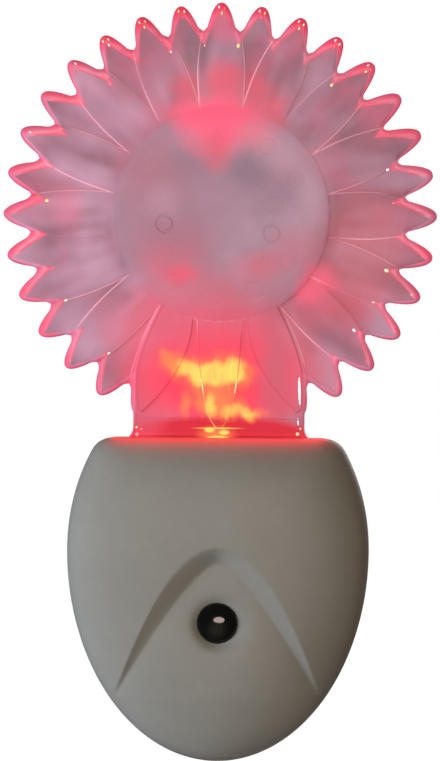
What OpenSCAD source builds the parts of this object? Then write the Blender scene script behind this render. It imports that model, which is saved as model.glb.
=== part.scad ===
// Plug in night light: a clear flower panel, lit from its foot, in a small housing
// whose plug turns a quarter turn in the back.
// +X right, -Y front, +Z up. The origin is the middle of the plug on the wall plane.
// Depths are measured from the wall plane towards the front.

/* [Housing] */
// Width of the housing
base_w = 51.4; // [50:0.2:56]
// Height of the housing
base_h = 55; // [54:0.5:60]
// Depth of the housing, wall to crown
base_d = 24; // [23.5:0.5:30]
// Height of the widest point above the bottom
waist_h = 36; // [34:0.5:38]
// Height of the ellipse that the shoulders follow
shoulder_h = 31; // [29:0.5:36]
// Drop of the rounded corner below the flat top
corner_drop = 2.2; // [1.5:0.1:3]
// Run of the rounded corner along the flat top
corner_run = 3; // [2:0.1:4]
// Height of the plug's middle above the bottom
plug_h = 26; // [25.5:0.1:26.5]
// Side wall of both shells
wall = 2.2; // [1.9:0.1:2.4]
// Back wall of the rear cover
back_wall = 2.4; // [2.2:0.1:2.6]
// Front wall of the front cover
front_wall = 3.4; // [3:0.1:3.6]
// Depth of the seam between the shells
seam_d = 12; // [11.6:0.1:12.4]
// Length of the straight side in front of the seam
side_run = 1; // [0.6:0.1:2]
// Squareness of the crown's edge
crown_power = 3.5; // [2.6:0.1:4.5]
// Height of the crown's middle above the bottom
crown_mid = 27.5; // [26:0.5:30]
// Step of the back edge that stands off the wall
foot_step = 0.8; // [0.4:0.1:1]
// Tongue of the seam, past the seam
tongue_h = 1.4; // [1:0.1:1.6]
// Play of the tongue in its groove
tongue_gap = 0.1; // [0.05:0.01:0.15]

/* [Arch relief] */
// Half width of the arch at its feet
arch_half_w = 17.4; // [15:0.1:18]
// Height of the arch's feet above the bottom
arch_foot_h = 11.4; // [10.5:0.1:14]
// Height of the arch's top above the bottom
arch_top_h = 36.5; // [34:0.5:40]
// Depth of the relief under the top of the arch
arch_depth = 1.4; // [0.6:0.1:1.6]

/* [Light sensor] */
// Height of the sensor window above the bottom
lens_h = 23.3; // [23.1:0.1:23.7]
// Radius of the window's bore
lens_bore_r = 3.4; // [3.2:0.05:3.6]
// Play of the window in its bore
lens_gap = 0.05; // [0.02:0.01:0.08]
// Height of the window's dome
lens_dome_h = 2.2; // [1.8:0.1:2.8]
// Depth of the dish around the window below the crown
dish_depth = 1.7; // [1.5:0.1:1.9]
// Spread of the dish for each millimetre of depth
dish_spread = 1.8; // [1.4:0.1:2.2]
// Width of the window's flange around the bore
lens_flange_w = 1.2; // [1:0.1:1.5]
// Wall of the boss around the window's flange
lens_boss_wall = 1.4; // [1:0.1:1.6]
// Thickness of the window's flange
lens_flange_t = 1; // [0.8:0.1:1.2]
// Radius of the photocell
photocell_r = 2.55; // [2.4:0.05:2.6]
// Thickness of the photocell
photocell_t = 2; // [1.5:0.1:2.5]
// Height of the photocell's back off the board
photocell_rise = 5; // [4:0.5:6]
// Wall of the light shield tube
shield_wall = 0.8; // [0.6:0.1:0.9]

/* [Flower panel] */
// Diameter of the flower over the petal tips
flower_w = 74; // [70:1:80]
// Height of the flower's middle above the housing
flower_h = 38; // [36:0.25:42]
// Petals in each of the two layers
petals = 16; // [14:1:18]
// Widest part of a petal
petal_w = 9.9; // [9:0.1:11]
// Distance of a petal's widest part from its tip
petal_reach = 12; // [10:0.5:14]
// Radius of a petal's round tip
petal_tip_r = 1.75; // [1.4:0.05:2]
// Thickness of one petal layer
petal_t = 2.2; // [1.8:0.1:2.3]
// Radius of the seed disc
seed_r = 18.5; // [17:0.5:20]
// Step of the seed disc above the petals
seed_step = 1; // [0.9:0.1:1.2]
// Dome of the seed disc
seed_dome = 0.8; // [0.6:0.1:1.4]
// Radius of a ring mark on the seed disc
mark_r = 1.5; // [1.2:0.1:1.8]
// Ring marks in each of the two rounds
mark_count = 12; // [8:1:13]
// Radius of the inner round of marks
mark_in_r = 9.5; // [9:0.1:10]
// Radius of the outer round of marks
mark_out_r = 14.4; // [13.8:0.1:14.8]
// Width and depth of a mark's groove
mark_t = 0.2; // [0.15:0.05:0.4]
// Width of the stem where it enters the housing
stem_w = 29.2; // [27:0.2:29.6]
// Width of the stem at the seed disc
stem_top_w = 20.4; // [18:0.2:22]
// Height of the straight part of the stem
stem_straight = 10.2; // [8:0.2:12]
// Thickness of the stem in front of the petals
stem_proud = 0.4; // [0.2:0.1:0.5]
// Relief of the sepals on the stem
sepal_t = 0.4; // [0.3:0.1:0.6]
// Width of the middle sepal
sepal_w = 7; // [6:0.2:8]
// Height of the middle sepal's tip above the housing
sepal_tip_h = 1.6; // [1.2:0.1:3]
// Distance of a side sepal's tip from the middle
side_tip_x = 13.2; // [12.6:0.1:13.6]
// Height of a side sepal's tip above the housing
side_tip_h = 4.2; // [3:0.1:6]
// Length of the foot inside the housing
foot_h = 9.5; // [9.3:0.1:9.7]
// Reach of each lug past the foot
lug_w = 2.6; // [2:0.1:2.7]
// Height of a lug
lug_h = 3.8; // [3.2:0.1:4]
// Thickness of the ledges under the lugs
ledge_t = 1.4; // [1:0.1:1.6]
// Play of the panel in its slot and on its ledges
slot_gap = 0.15; // [0.1:0.01:0.2]

/* [Plug] */
// Distance between the middles of the blades
blade_pitch = 12.7; // [12.4:0.1:13]
// Thickness of a blade
blade_t = 1.5; // [1.4:0.05:1.6]
// Width of a blade
blade_w = 6.35; // [6.1:0.05:6.6]
// Length of a blade past the wall plane
blade_l = 16.5; // [15.9:0.1:18]
// Radius of the hole in a blade
blade_hole_r = 1.6; // [1.4:0.1:1.7]
// Distance of the hole from the wall plane
blade_hole_y = 11.7; // [11:0.1:12.5]
// Taper of a blade's tip
blade_taper = 1.2; // [0.8:0.1:1.8]
// Radius of the turning insert where it passes the back wall
neck_r = 10.9; // [10.6:0.1:11.2]
// Running play of the insert in the back wall
neck_gap = 0.08; // [0.04:0.01:0.1]
// Radius of the insert's flange
flange_r = 12.9; // [12.7:0.1:13.1]
// Thickness of the insert's flange
flange_t = 1.8; // [1.6:0.1:2]
// Play of the flange between the covers and the yoke, each side
flange_gap = 0.1; // [0.06:0.01:0.12]
// Reach of the stop lug past the flange
stop_reach = 1.3; // [1:0.1:1.4]
// Angle that the plug turns through
turn_angle = 90; // [60:1:120]
// Half angle of the stop lug
stop_half = 5; // [4:0.5:8]

/* [Slip contacts] */
// Inner radius of the ring contact
slip_in_r = 5.5; // [5.2:0.1:5.6]
// Outer radius of the ring contact
slip_out_r = 8.4; // [8:0.1:8.8]
// Thickness of the ring contact
slip_t = 0.8; // [0.6:0.1:0.9]
// Radius of the centre contact's head
rivet_head_r = 1.7; // [1.4:0.1:2]
// Radius of the centre contact's shank
rivet_r = 1; // [0.8:0.1:1.2]
// Thickness of the leaf springs
wiper_t = 0.35; // [0.3:0.05:0.4]
// Width of the leaf springs
wiper_w = 2.6; // [2:0.1:3]
// Play between a leaf spring and its contact
wiper_gap = 0.08; // [0.05:0.01:0.12]

/* [Yoke and board] */
// Thickness of the yoke
yoke_t = 1.8; // [1.6:0.1:1.9]
// Inner radius of the yoke
yoke_in_r = 10; // [9.6:0.1:10.4]
// Outer radius of the yoke
yoke_out_r = 15.6; // [15.3:0.1:15.7]
// Distance of the yoke's screws from the plug's middle
yoke_screw_x = 17.3; // [17:0.1:17.8]
// Depth of the board's back face
board_d = 7.4; // [7.3:0.1:7.6]
// Thickness of the board
board_t = 1.6; // [1.4:0.1:1.7]
// Half width of the board
board_half_w = 13.3; // [13:0.1:13.4]
// Top of the board above the plug's middle
board_top = 17.3; // [17:0.1:17.6]
// Bottom of the board below the plug's middle
board_bottom = 16.1; // [15.8:0.1:16.2]
// Distance of the board posts to each side
post_x = 11.6; // [11.4:0.1:11.7]
// Height of the upper board posts above the plug's middle
post_up = 14.6; // [14.4:0.1:14.8]
// Height of the lower board posts below the plug's middle
post_down = 14.2; // [14:0.1:14.3]
// Radius of the board posts
post_r = 1.9; // [1.7:0.1:1.9]

/* [Screws] */
// Distance of the upper housing screws to each side
case_screw_x = 17.3; // [17.2:0.1:17.6]
// Height of the upper housing screws above the plug's middle
case_screw_up = 14.5; // [14.2:0.1:14.6]
// Height of the lower housing screw below the plug's middle
case_screw_down = 20; // [19.9:0.05:20.1]
// Radius of the housing screws
case_screw_r = 1.3; // [1.2:0.05:1.4]
// Radius of the housing screw heads
case_head_r = 2.4; // [2.2:0.1:2.5]
// Length of the housing screws under the head
case_screw_l = 10; // [9:0.5:10.5]
// Depth of the screw heads' seat in the back
case_seat_d = 8; // [7.5:0.1:8.5]
// Wall of the rear cover's screw wells
well_wall = 1.2; // [1:0.1:1.3]
// Wall of the front cover's screw bosses
boss_wall = 1.7; // [1.4:0.1:1.9]
// Radius of the small screws
small_screw_r = 0.95; // [0.8:0.05:1]
// Radius of the small screw heads
small_head_r = 1.7; // [1.5:0.1:1.8]
// Length of the small screws under the head
small_screw_l = 4.6; // [4.4:0.1:4.8]
// Wall around the yoke's screws
ear_wall = 1.6; // [1.3:0.1:1.8]

/* [Electronics] */
// Radius of the lamp's body
led_r = 2.5; // [2.4:0.05:2.5]
// Height of the lamp, flange to tip
led_h = 8.6; // [8.2:0.1:8.7]
// Distance between the lamp's pins
led_pitch = 2.54; // [2.4:0.02:2.6]
// Play between the lamp's tip and the panel's foot
led_gap = 0.2; // [0.15:0.05:0.3]
// Wall of the lamp's holder
holder_wall = 1.1; // [0.9:0.1:1.3]
// Height of the lamp's holder
holder_h = 5; // [4:0.5:5]
// Width of a component pin
pin_w = 0.5; // [0.4:0.05:0.6]
// Width of the film capacitor
film_cap_w = 7; // [6:0.1:7.2]
// Length of the film capacitor
film_cap_l = 13; // [11:0.1:13.2]
// Height of the film capacitor off the board
film_cap_h = 8.5; // [7:0.1:9]
// Radius of the electrolytic capacitor
can_r = 3.15; // [2.5:0.05:3.2]
// Height of the electrolytic capacitor
can_h = 7.5; // [6:0.1:8]
// Radius of a rectifier diode
diode_r = 1.2; // [1:0.05:1.3]
// Length of a rectifier diode's body
diode_l = 4.2; // [3.8:0.1:4.4]
// Radius of the fusible resistor
fusible_r = 1.6; // [1.3:0.1:1.7]
// Length of the fusible resistor's body
fusible_l = 8.6; // [7:0.2:9]
// Radius of the two small resistors
resistor_r = 1.15; // [0.9:0.05:1.2]
// Length of the small resistors' bodies
resistor_l = 6.2; // [5.6:0.2:6.6]
// Radius of the zener diode
zener_r = 0.9; // [0.8:0.05:1]
// Length of the zener diode's body
zener_l = 3.6; // [3.2:0.2:4]
// Radius of the transistor's body
transistor_r = 2.3; // [2:0.1:2.4]
// Height of the transistor's body
transistor_h = 4.6; // [4:0.1:5]
// Height of the transistor off the board
transistor_lift = 2; // [1.5:0.1:3]

/* [Hidden] */
$fn = 48;

// Overshoot of cuts, so that no cut ends on a face
over = 0.5;
// Steps of the outline: lower quarter, shoulder and corner
low_steps = 14;
up_steps = 5;
corner_steps = 3;
// Steps of a petal's flank, of its round tip and of the stem's edge
petal_steps = 5;
tip_steps = 4;
stem_steps = 5;
// Gap that stands between neighbouring sepals, and between a sepal and the stem's edge
sepal_gap = 1;
// Reach of the stem and the middle sepal into the seed disc
root_in = 1;
// Sizes of the crown's rings, as shares of the outline
crown_shares = [1, 0.985, 0.955, 0.91, 0.84, 0.74, 0.6, 0.44, 0.26, 0.1];
// Play of a screw in a hole that it passes, and in a hole that it bites into
screw_pass = 0.2;
screw_bite = 0.02;
// Room past a screw's end in a blind hole
screw_end = 0.2;
// Play of a pin in its hole in the board
pin_gap = 0.05;
// Height of a lying part's body off the board
lie_gap = 0.2;
// Play inside the light shield tube, and of the lamp in its holder
shield_gap = 0.3;
holder_gap = 0.05;

top_z = base_h - plug_h;
lens_z = lens_h - plug_h;
board_front = board_d + board_t;
shade_back = seam_d - petal_t;
petal_front = seam_d + petal_t;
stem_front = petal_front + stem_proud;
seed_front = petal_front + seed_step;
foot_z = top_z - foot_h;
lug_gap = 0.8;
lug_top = top_z - wall - lug_gap;
flange_back = back_wall + flange_gap;
flange_front = flange_back + flange_t;
yoke_back = flange_front + flange_gap;
yoke_front = yoke_back + yoke_t;
slip_front = flange_front + slip_t;
stop_play = 0.3;
stop_wall_r = flange_r + stop_play;
strip_d = [2, 2.8];
led_tip_z = foot_z - led_gap;
led_z = led_tip_z - led_h;
led_flange_h = 1;
led_bend_z = led_z - 2.5;
well_r = case_head_r + well_wall;
front_boss_r = case_screw_r + boss_wall;
ear_r = small_screw_r + ear_wall;
inner_crown = base_d - front_wall;
lens_seat = base_d - arch_depth / 2 - dish_depth - 1.5;
CASE_SCREWS = [[-case_screw_x, case_screw_up], [case_screw_x, case_screw_up], [0, -case_screw_down]];
LOW_POSTS = [[-post_x, -post_down], [post_x, -post_down]];
HIGH_POSTS = [[-post_x, post_up], [post_x, post_up]];
YOKE_SCREWS = [[-yoke_screw_x, 0], [yoke_screw_x, 0]];

// Pins of the board's parts: the two ends of each part, seen from the front
FILM_PINS = [[-9.1, -6.5], [-9.1, 3.5]];
CAN_PINS = [[7.75, -8], [10.25, -8]];
FUSIBLE_PINS = [[6.7, -2.4], [6.7, 8.4]];
BLEED_PINS = [[10.8, -1.4], [10.8, 7.4]];
BIAS_PINS = [[4.6, 12], [12.4, 12]];
ZENER_PINS = [[-12.2, 7.4], [-5.2, 7.4]];
TRANSISTOR_PINS = [[-8.77, 11.6], [-7.5, 11.6], [-6.23, 11.6]];
CELL_PINS = [[-1.7, lens_z], [1.7, lens_z]];
LED_PINS = [[-led_pitch / 2, led_bend_z], [led_pitch / 2, led_bend_z]];
DIODE_X = [-7.6, -4.6, -1.6, 1.4];
DIODE_Z = [-15, -8.6];
DIODE_PINS = [for (x = DIODE_X, z = DIODE_Z) [x, z]];
BOARD_PINS = concat(
  FILM_PINS, CAN_PINS, FUSIBLE_PINS, BLEED_PINS, BIAS_PINS, ZENER_PINS,
  TRANSISTOR_PINS, CELL_PINS, LED_PINS, DIODE_PINS
);

// Height above the housing at which the seed disc's edge is half_w from the middle
function seed_edge_h(half_w) = flower_h - sqrt(seed_r * seed_r - half_w * half_w);

// ---- Tools: everything is drawn in front view and given a stretch of depth ----

// A flat shape in front view, from depth d0 to depth d1
module slab(d0, d1) {
  translate([0, -d0, 0]) rotate([90, 0, 0]) linear_extrude(d1 - d0) children();
}

// A round bar from depth d0 to depth d1
module rod(p, r, d0, d1) {
  translate([p[0], -d0, p[1]]) rotate([90, 0, 0]) cylinder(r = r, h = d1 - d0);
}

// A square pin from depth d0 to depth d1
module pin(p, d0, d1) {
  slab(d0, d1) translate([p[0] - pin_w / 2, p[1] - pin_w / 2]) square(pin_w);
}

// A flat ring in front view
module ring_2d(r_out, r_in) {
  difference() {
    circle(r = r_out);
    circle(r = r_in);
  }
}

// A sector in front view, from angle a0 to angle a1
module sector_2d(r, a0, a1) {
  steps = 12;
  arc = [for (i = [0:steps]) let (a = a0 + (a1 - a0) * i / steps) [r * cos(a), r * sin(a)]];
  polygon(concat([[0, 0]], arc));
}

// A ball's cap on a flat seat at depth d, with base radius r and height h
module cap(p, r, h, d) {
  steps = 8;
  ball_r = (r * r + h * h) / (2 * h);
  edge = asin(r / ball_r) * (h > r ? -1 : 1) + (h > r ? 180 : 0);
  translate([p[0], -d, p[1]]) rotate([90, 0, 0]) rotate_extrude() polygon(concat(
    [[0, 0]],
    [for (i = [0:steps]) let (a = edge * (1 - i / steps)) [ball_r * sin(a), ball_r * cos(a) - ball_r + h]]
  ));
}

// A screw whose head sits at depth seat and whose shank runs by the length l;
// way is 1 where the shank runs to the front and -1 where it runs to the wall
module screw(p, r, l, head_r, head_h, seat, way) {
  slot_w = head_r * 0.28;
  slot_l = head_r * 1.2;
  shank = way > 0 ? [seat, seat + l] : [seat - l, seat];
  head = way > 0 ? [seat - head_h, seat] : [seat, seat + head_h];
  cut = way > 0 ? [seat - head_h - over, seat - head_h / 2] : [seat + head_h / 2, seat + head_h + over];
  difference() {
    union() {
      rod(p, r, shank[0], shank[1]);
      rod(p, head_r, head[0], head[1]);
    }
    slab(cut[0], cut[1]) translate(p) {
      square([slot_w, slot_l], center = true);
      square([slot_l, slot_w], center = true);
    }
  }
}

// ---- Housing outline and crown ----

// Right half of the outline, from the bottom up to the flat top, moved in by inset
function half_outline(inset) =
  let (
    a = base_w / 2 - inset,
    low = waist_h - inset,
    up = shoulder_h - inset,
    top = base_h - inset - waist_h,
    rise = top - corner_drop,
    side = sqrt(1 - pow(rise / up, 2)),
    x1 = a * side,
    x_corner = x1 - a * rise / (up * up * side) * corner_drop,
    x2 = x_corner - corner_run
  )
  concat(
    [for (i = [0:low_steps - 1]) let (t = -90 + 90 * i / low_steps) [a * cos(t), waist_h + low * sin(t)]],
    [for (i = [0:up_steps]) let (t = asin(rise / up) * i / up_steps) [a * cos(t), waist_h + up * sin(t)]],
    [for (i = [1:corner_steps]) let (t = i / corner_steps) [
      pow(1 - t, 2) * x1 + 2 * t * (1 - t) * x_corner + t * t * x2,
      waist_h + pow(1 - t, 2) * rise + (1 - pow(1 - t, 2)) * top
    ]]
  );

// The whole outline, anticlockwise in front view
function outline(inset) =
  let (half = half_outline(inset))
  concat(half, [for (i = [len(half) - 1:-1:1]) [-half[i][0], half[i][1]]]);

module housing_2d(inset) {
  translate([0, -plug_h]) polygon(outline(inset));
}

// How far the crown has risen, from 0 at the edge to 1 in the middle
function crown_rise(share) = pow(1 - pow(share, crown_power), 1 / crown_power);

// How deep the relief is at a height above the bottom
function relief(h) = arch_depth * min(1, max(0, (h - arch_foot_h) / (arch_top_h - arch_foot_h)));

// One ring of a crown, with sunk = 1 where the relief's floor is drawn
function crown_ring(inset, share, edge, peak, sunk) =
  let (d = edge + (peak - edge) * crown_rise(share))
  [for (p = outline(inset))
    let (h = crown_mid + share * (p[1] - crown_mid))
    [share * p[0], -(d - sunk * relief(h)), h - plug_h]];

// A solid from rings of equally many points, closed at both ends
module loft(rings) {
  n = len(rings[0]);
  last = len(rings) - 1;
  ends = [for (k = [0, last]) [for (axis = [0:2]) [for (p = rings[k]) p[axis]] * [for (p = rings[k]) 1] / n]];
  points = concat([for (r = rings) for (p = r) p], ends);
  polyhedron(points, concat(
    [for (i = [0:n - 1]) [n * len(rings), i, (i + 1) % n]],
    [for (k = [0:last - 1], i = [0:n - 1]) [k * n + i, (k + 1) * n + i, (k + 1) * n + (i + 1) % n]],
    [for (k = [0:last - 1], i = [0:n - 1]) [k * n + i, (k + 1) * n + (i + 1) % n, k * n + (i + 1) % n]],
    [for (i = [0:n - 1]) [n * len(rings) + 1, last * n + (i + 1) % n, last * n + i]]
  ));
}

// The crown from depth d0, with its edge at depth edge and its middle at depth peak
module crown(inset, d0, edge, peak, sunk) {
  start = [for (p = outline(inset)) [p[0], -d0, p[1] - plug_h]];
  loft(concat([start], [for (s = crown_shares) crown_ring(inset, s, edge, peak, sunk)]));
}

// The arch in front view: a parabola on its feet
module arch_2d() {
  steps = 12;
  tall = arch_top_h - arch_foot_h;
  translate([0, arch_foot_h - plug_h])
    polygon([for (i = [-steps:steps]) let (t = i / steps) [arch_half_w * t, tall * (1 - t * t)]]);
}

// The space that the panel's foot and its slot take in the top of the shells
module foot_space() {
  half = stem_w / 2 + slot_gap;
  slab(shade_back - slot_gap, stem_front + slot_gap)
    translate([-half, foot_z]) square([2 * half, foot_h + over]);
}

// A ledge under each lug of the panel, from depth d0 to depth d1
module lug_ledges(d0, d1) {
  near = stem_w / 2 + 2 * slot_gap;
  far = base_w / 2;
  for (side = [0, 1]) slab(d0, d1) intersection() {
    mirror([side, 0]) translate([near, lug_top - lug_h - slot_gap - ledge_t]) square([far - near, ledge_t]);
    housing_2d(wall / 2);
  }
}

// ---- Housing ----

// Crowned front shell with the arch relief, the sensor's bore, its bosses and ledges
module front_cover() color([0.78, 0.76, 0.73]) {
  edge = seam_d + side_run;
  difference() {
    union() {
      difference() {
        crown(0, seam_d, edge, base_d, 0);
        difference() {
          slab(seam_d + over, base_d + over) arch_2d();
          crown(0, seam_d, edge, base_d, 1);
        }
        crown(wall, seam_d - over, edge, inner_crown, 0);
      }
      slab(seam_d - tongue_h, seam_d + over) difference() {
        housing_2d(wall / 2 + tongue_gap / 2);
        housing_2d(wall);
      }
      intersection() {
        crown(wall / 2, seam_d, edge, inner_crown + front_wall / 2, 0);
        union() {
          for (p = CASE_SCREWS) rod(p, front_boss_r, seam_d, base_d);
          rod([0, lens_z], lens_bore_r + lens_flange_w + lens_boss_wall, lens_seat - lens_flange_t, base_d);
          lug_ledges(seam_d, base_d);
        }
      }
    }
    for (p = CASE_SCREWS)
      rod(p, case_screw_r + screw_bite, seam_d - over, case_seat_d + case_screw_l + over);
    rod([0, lens_z], lens_bore_r, seam_d, base_d + over);
    rod([0, lens_z], lens_bore_r + lens_flange_w + lens_gap, seam_d, lens_seat);
    sensor_dish();
    foot_space();
  }
}

// The shallow dish around the sensor window
module sensor_dish() {
  floor_d = base_d - dish_depth;
  floor_r = lens_bore_r + 0.2;
  tall = dish_depth + over;
  translate([0, -floor_d, lens_z]) rotate([90, 0, 0])
    cylinder(r1 = floor_r, r2 = floor_r + dish_spread * tall, h = tall);
}

// Rear shell: turning hole, stop wall, board posts, screw wells and ledges
module rear_cover() color([0.76, 0.74, 0.71]) difference() {
  union() {
    slab(0, foot_step) housing_2d(foot_step);
    slab(foot_step, back_wall) housing_2d(0);
    slab(foot_step, seam_d) difference() {
      housing_2d(0);
      housing_2d(wall);
    }
    slab(back_wall, yoke_back) ring_2d(yoke_out_r, stop_wall_r);
    for (p = YOKE_SCREWS) rod(p, ear_r, back_wall, yoke_back);
    for (p = concat(LOW_POSTS, HIGH_POSTS)) rod(p, post_r, back_wall, board_d);
    for (p = HIGH_POSTS) rod(p, small_screw_r, board_d, board_front + 0.4);
    for (p = CASE_SCREWS) rod(p, well_r, back_wall / 2, seam_d);
    lug_ledges(back_wall, seam_d);
  }
  // Groove of the seam
  slab(seam_d - tongue_h - tongue_gap, seam_d + over) difference() {
    housing_2d(wall / 2 - tongue_gap / 2);
    housing_2d(wall + tongue_gap);
  }
  rod([0, 0], neck_r + neck_gap, -over, back_wall + over);
  // Pocket of the stop lug, with a degree of play at each end
  slab(back_wall, yoke_back + over) intersection() {
    circle(r = flange_r + stop_reach + stop_play);
    sector_2d(2 * flange_r, 270 - turn_angle / 2 - stop_half - 1, 270 + turn_angle / 2 + stop_half + 1);
  }
  for (p = YOKE_SCREWS)
    rod(p, small_screw_r + screw_bite, yoke_front - small_screw_l - screw_end, yoke_back + over);
  for (p = LOW_POSTS)
    rod(p, small_screw_r + screw_bite, board_front - small_screw_l - screw_end, board_d + over);
  for (p = CASE_SCREWS) {
    rod(p, case_head_r + screw_pass, -over, case_seat_d);
    rod(p, case_screw_r + screw_pass, case_seat_d - over, seam_d + over);
  }
  foot_space();
}

// ---- Flower panel ----

// One petal, pointing up from the flower's middle: a round tip on flanks that flare
module petal_2d() {
  tip = flower_w / 2;
  flare = petal_w / 2 - petal_tip_r;
  flank = petal_reach - petal_tip_r;
  side = concat(
    [[petal_w / 2, seed_r - 1]],
    [for (i = [petal_steps:-1:1]) let (t = i / petal_steps)
      [petal_tip_r + flare * pow(sin(90 * t), 1.3), tip - petal_tip_r - flank * t]],
    [for (i = [0:tip_steps - 1]) let (a = 90 * i / tip_steps)
      [petal_tip_r * cos(a), tip - petal_tip_r * (1 - sin(a))]]
  );
  polygon(concat(side, [[0, tip]], [for (i = [len(side) - 1:-1:0]) [-side[i][0], side[i][1]]]));
}

// One layer of petals, turned by the angle a
module petal_layer_2d(a) {
  translate([0, top_z + flower_h]) {
    for (i = [0:petals - 1]) rotate(a + i * 360 / petals) petal_2d();
    circle(r = seed_r + petal_w / 2);
  }
}

// Half width of the stem at a height above the housing
function stem_half(h) =
  let (top = seed_edge_h(stem_top_w / 2))
  stem_w / 2 - (stem_w - stem_top_w) / 2 * pow(max(0, (h - stem_straight) / (top - stem_straight)), 1.5);

// The stem, from its foot in the housing up to the seed disc
module stem_2d() {
  top = seed_edge_h(stem_top_w / 2) + root_in;
  heights = [for (i = [0:stem_steps]) stem_straight + (top - stem_straight) * i / stem_steps];
  translate([0, top_z]) polygon(concat(
    [[-stem_w / 2, -foot_h], [stem_w / 2, -foot_h]],
    [for (h = heights) [stem_half(h), h]],
    [[0, flower_h]],
    [for (i = [stem_steps:-1:0]) [-stem_half(heights[i]), heights[i]]]
  ));
}

// The sepals on the stem: a long one in the middle and one along each edge
module sepals_2d() {
  half = sepal_w / 2;
  top = seed_edge_h(half) + root_in;
  root = half + sepal_gap;
  root_h = seed_edge_h(root);
  side_top = seed_edge_h(stem_top_w / 2);
  inner = [for (i = [0:stem_steps]) root_h + (side_tip_h - root_h) * i / stem_steps];
  outer = [for (i = [0:stem_steps]) side_tip_h + (side_top - side_tip_h) * i / stem_steps];
  translate([0, top_z]) {
    polygon([
      [half, top], [half, (top + sepal_tip_h) / 2], [sepal_gap, sepal_tip_h + sepal_gap], [0, sepal_tip_h],
      [-sepal_gap, sepal_tip_h + sepal_gap], [-half, (top + sepal_tip_h) / 2], [-half, top]
    ]);
    for (side = [0, 1]) mirror([side, 0]) polygon(concat(
      [[root, side_top]],
      [for (i = [0:stem_steps]) [root + (side_tip_x - root) * pow(i / stem_steps, 2.2), inner[i]]],
      [for (h = outer) [stem_half(h) - sepal_gap, h]]
    ));
  }
}

// Grooves of the ring marks: two rounds, the inner one turned by a part of its pitch
module ring_marks() {
  pitch = 360 / mark_count;
  for (round = [[mark_in_r, pitch * 2 / 3], [mark_out_r, pitch / 6]], i = [0:mark_count - 1]) {
    d = seed_front + seed_dome * (1 - pow(round[0] / seed_r, 2));
    a = round[1] + i * pitch;
    slab(d - mark_t, d + seed_dome)
      translate([round[0] * sin(a), top_z + flower_h + round[0] * cos(a)]) ring_2d(mark_r, mark_r - mark_t);
  }
}

// Clear panel: two layers of petals, seed disc, stem, sepals, foot and lugs in one moulding
module flower_shade() color([0.95, 0.45, 0.55, 0.7]) {
  mid = [0, top_z + flower_h];
  difference() {
    union() {
      slab(shade_back, seam_d) petal_layer_2d(180 / petals);
      slab(seam_d, petal_front) petal_layer_2d(0);
      rod(mid, seed_r, seam_d, seed_front);
      cap(mid, seed_r, seed_dome, seed_front);
      slab(shade_back, stem_front) stem_2d();
      slab(stem_front, stem_front + sepal_t) sepals_2d();
      slab(shade_back, stem_front) translate([-stem_w / 2 - lug_w, lug_top - lug_h])
        square([stem_w + 2 * lug_w, lug_h]);
    }
    ring_marks();
  }
}

// ---- Light sensor ----

// Smoked window: dome, plug through the bore and flange behind the wall
module sensor_lens() color([0.05, 0.05, 0.06]) {
  r = lens_bore_r - lens_gap;
  dome_d = base_d - dish_depth;
  rod([0, lens_z], lens_bore_r + lens_flange_w, lens_seat - lens_flange_t, lens_seat);
  rod([0, lens_z], r, lens_seat - lens_flange_t, dome_d);
  cap([0, lens_z], r, lens_dome_h, dome_d);
}

// Photocell on two pins
module photocell() color([0.75, 0.5, 0.35]) {
  back = board_front + photocell_rise;
  rod([0, lens_z], photocell_r, back, back + photocell_t);
  for (p = CELL_PINS) pin(p, board_d, back + photocell_t / 2);
}

// Black sleeve from the board to the window
module light_shield_tube() color([0.12, 0.12, 0.12])
  translate([0, 0, lens_z]) slab(board_front, lens_seat - lens_flange_t)
    ring_2d(photocell_r + shield_gap + shield_wall, photocell_r + shield_gap);

// ---- Board and what is on it ----

module circuit_board() color([0.15, 0.35, 0.2]) slab(board_d, board_front) difference() {
  translate([-board_half_w, -board_bottom]) square([2 * board_half_w, board_top + board_bottom]);
  for (p = BOARD_PINS) translate(p) square(pin_w + 2 * pin_gap, center = true);
  for (p = concat(LOW_POSTS, HIGH_POSTS)) translate(p) circle(r = small_screw_r + screw_pass);
}

// Five millimetre lamp with its tip under the panel's foot
module led() color([0.95, 0.3, 0.35]) translate([0, -seam_d, led_z]) {
  cylinder(r = led_r + 0.4, h = led_flange_h);
  cylinder(r = led_r, h = led_h - led_r);
  translate([0, 0, led_h - led_r]) sphere(r = led_r);
}

// The lamp's two pins, bent back into the board
module led_leads() color([0.8, 0.8, 0.8]) for (p = LED_PINS) {
  pin(p, board_d, seam_d + pin_w / 2);
  translate([p[0] - pin_w / 2, -seam_d - pin_w / 2, led_bend_z]) cube([pin_w, pin_w, led_z - led_bend_z]);
}

// Block on the board that holds the lamp upright
module led_holder() color([0.85, 0.84, 0.8]) {
  half = led_r + holder_wall;
  bottom = led_z + led_flange_h;
  difference() {
    translate([-half, -seam_d - half, bottom]) cube([2 * half, seam_d + half - board_front, holder_h]);
    translate([0, -seam_d, bottom - over]) cylinder(r = led_r + holder_gap, h = holder_h + 2 * over);
  }
}

module film_capacitor() color([0.75, 0.2, 0.15]) {
  mid = (FILM_PINS[0] + FILM_PINS[1]) / 2;
  slab(board_front, board_front + film_cap_h) translate(mid) square([film_cap_w, film_cap_l], center = true);
  for (p = FILM_PINS) pin(p, board_d, board_front + over);
}

module electrolytic_capacitor() color([0.12, 0.15, 0.3]) {
  mid = (CAN_PINS[0] + CAN_PINS[1]) / 2;
  rod(mid, can_r, board_front, board_front + can_h);
  for (p = CAN_PINS) pin(p, board_d, board_front + over);
}

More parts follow.
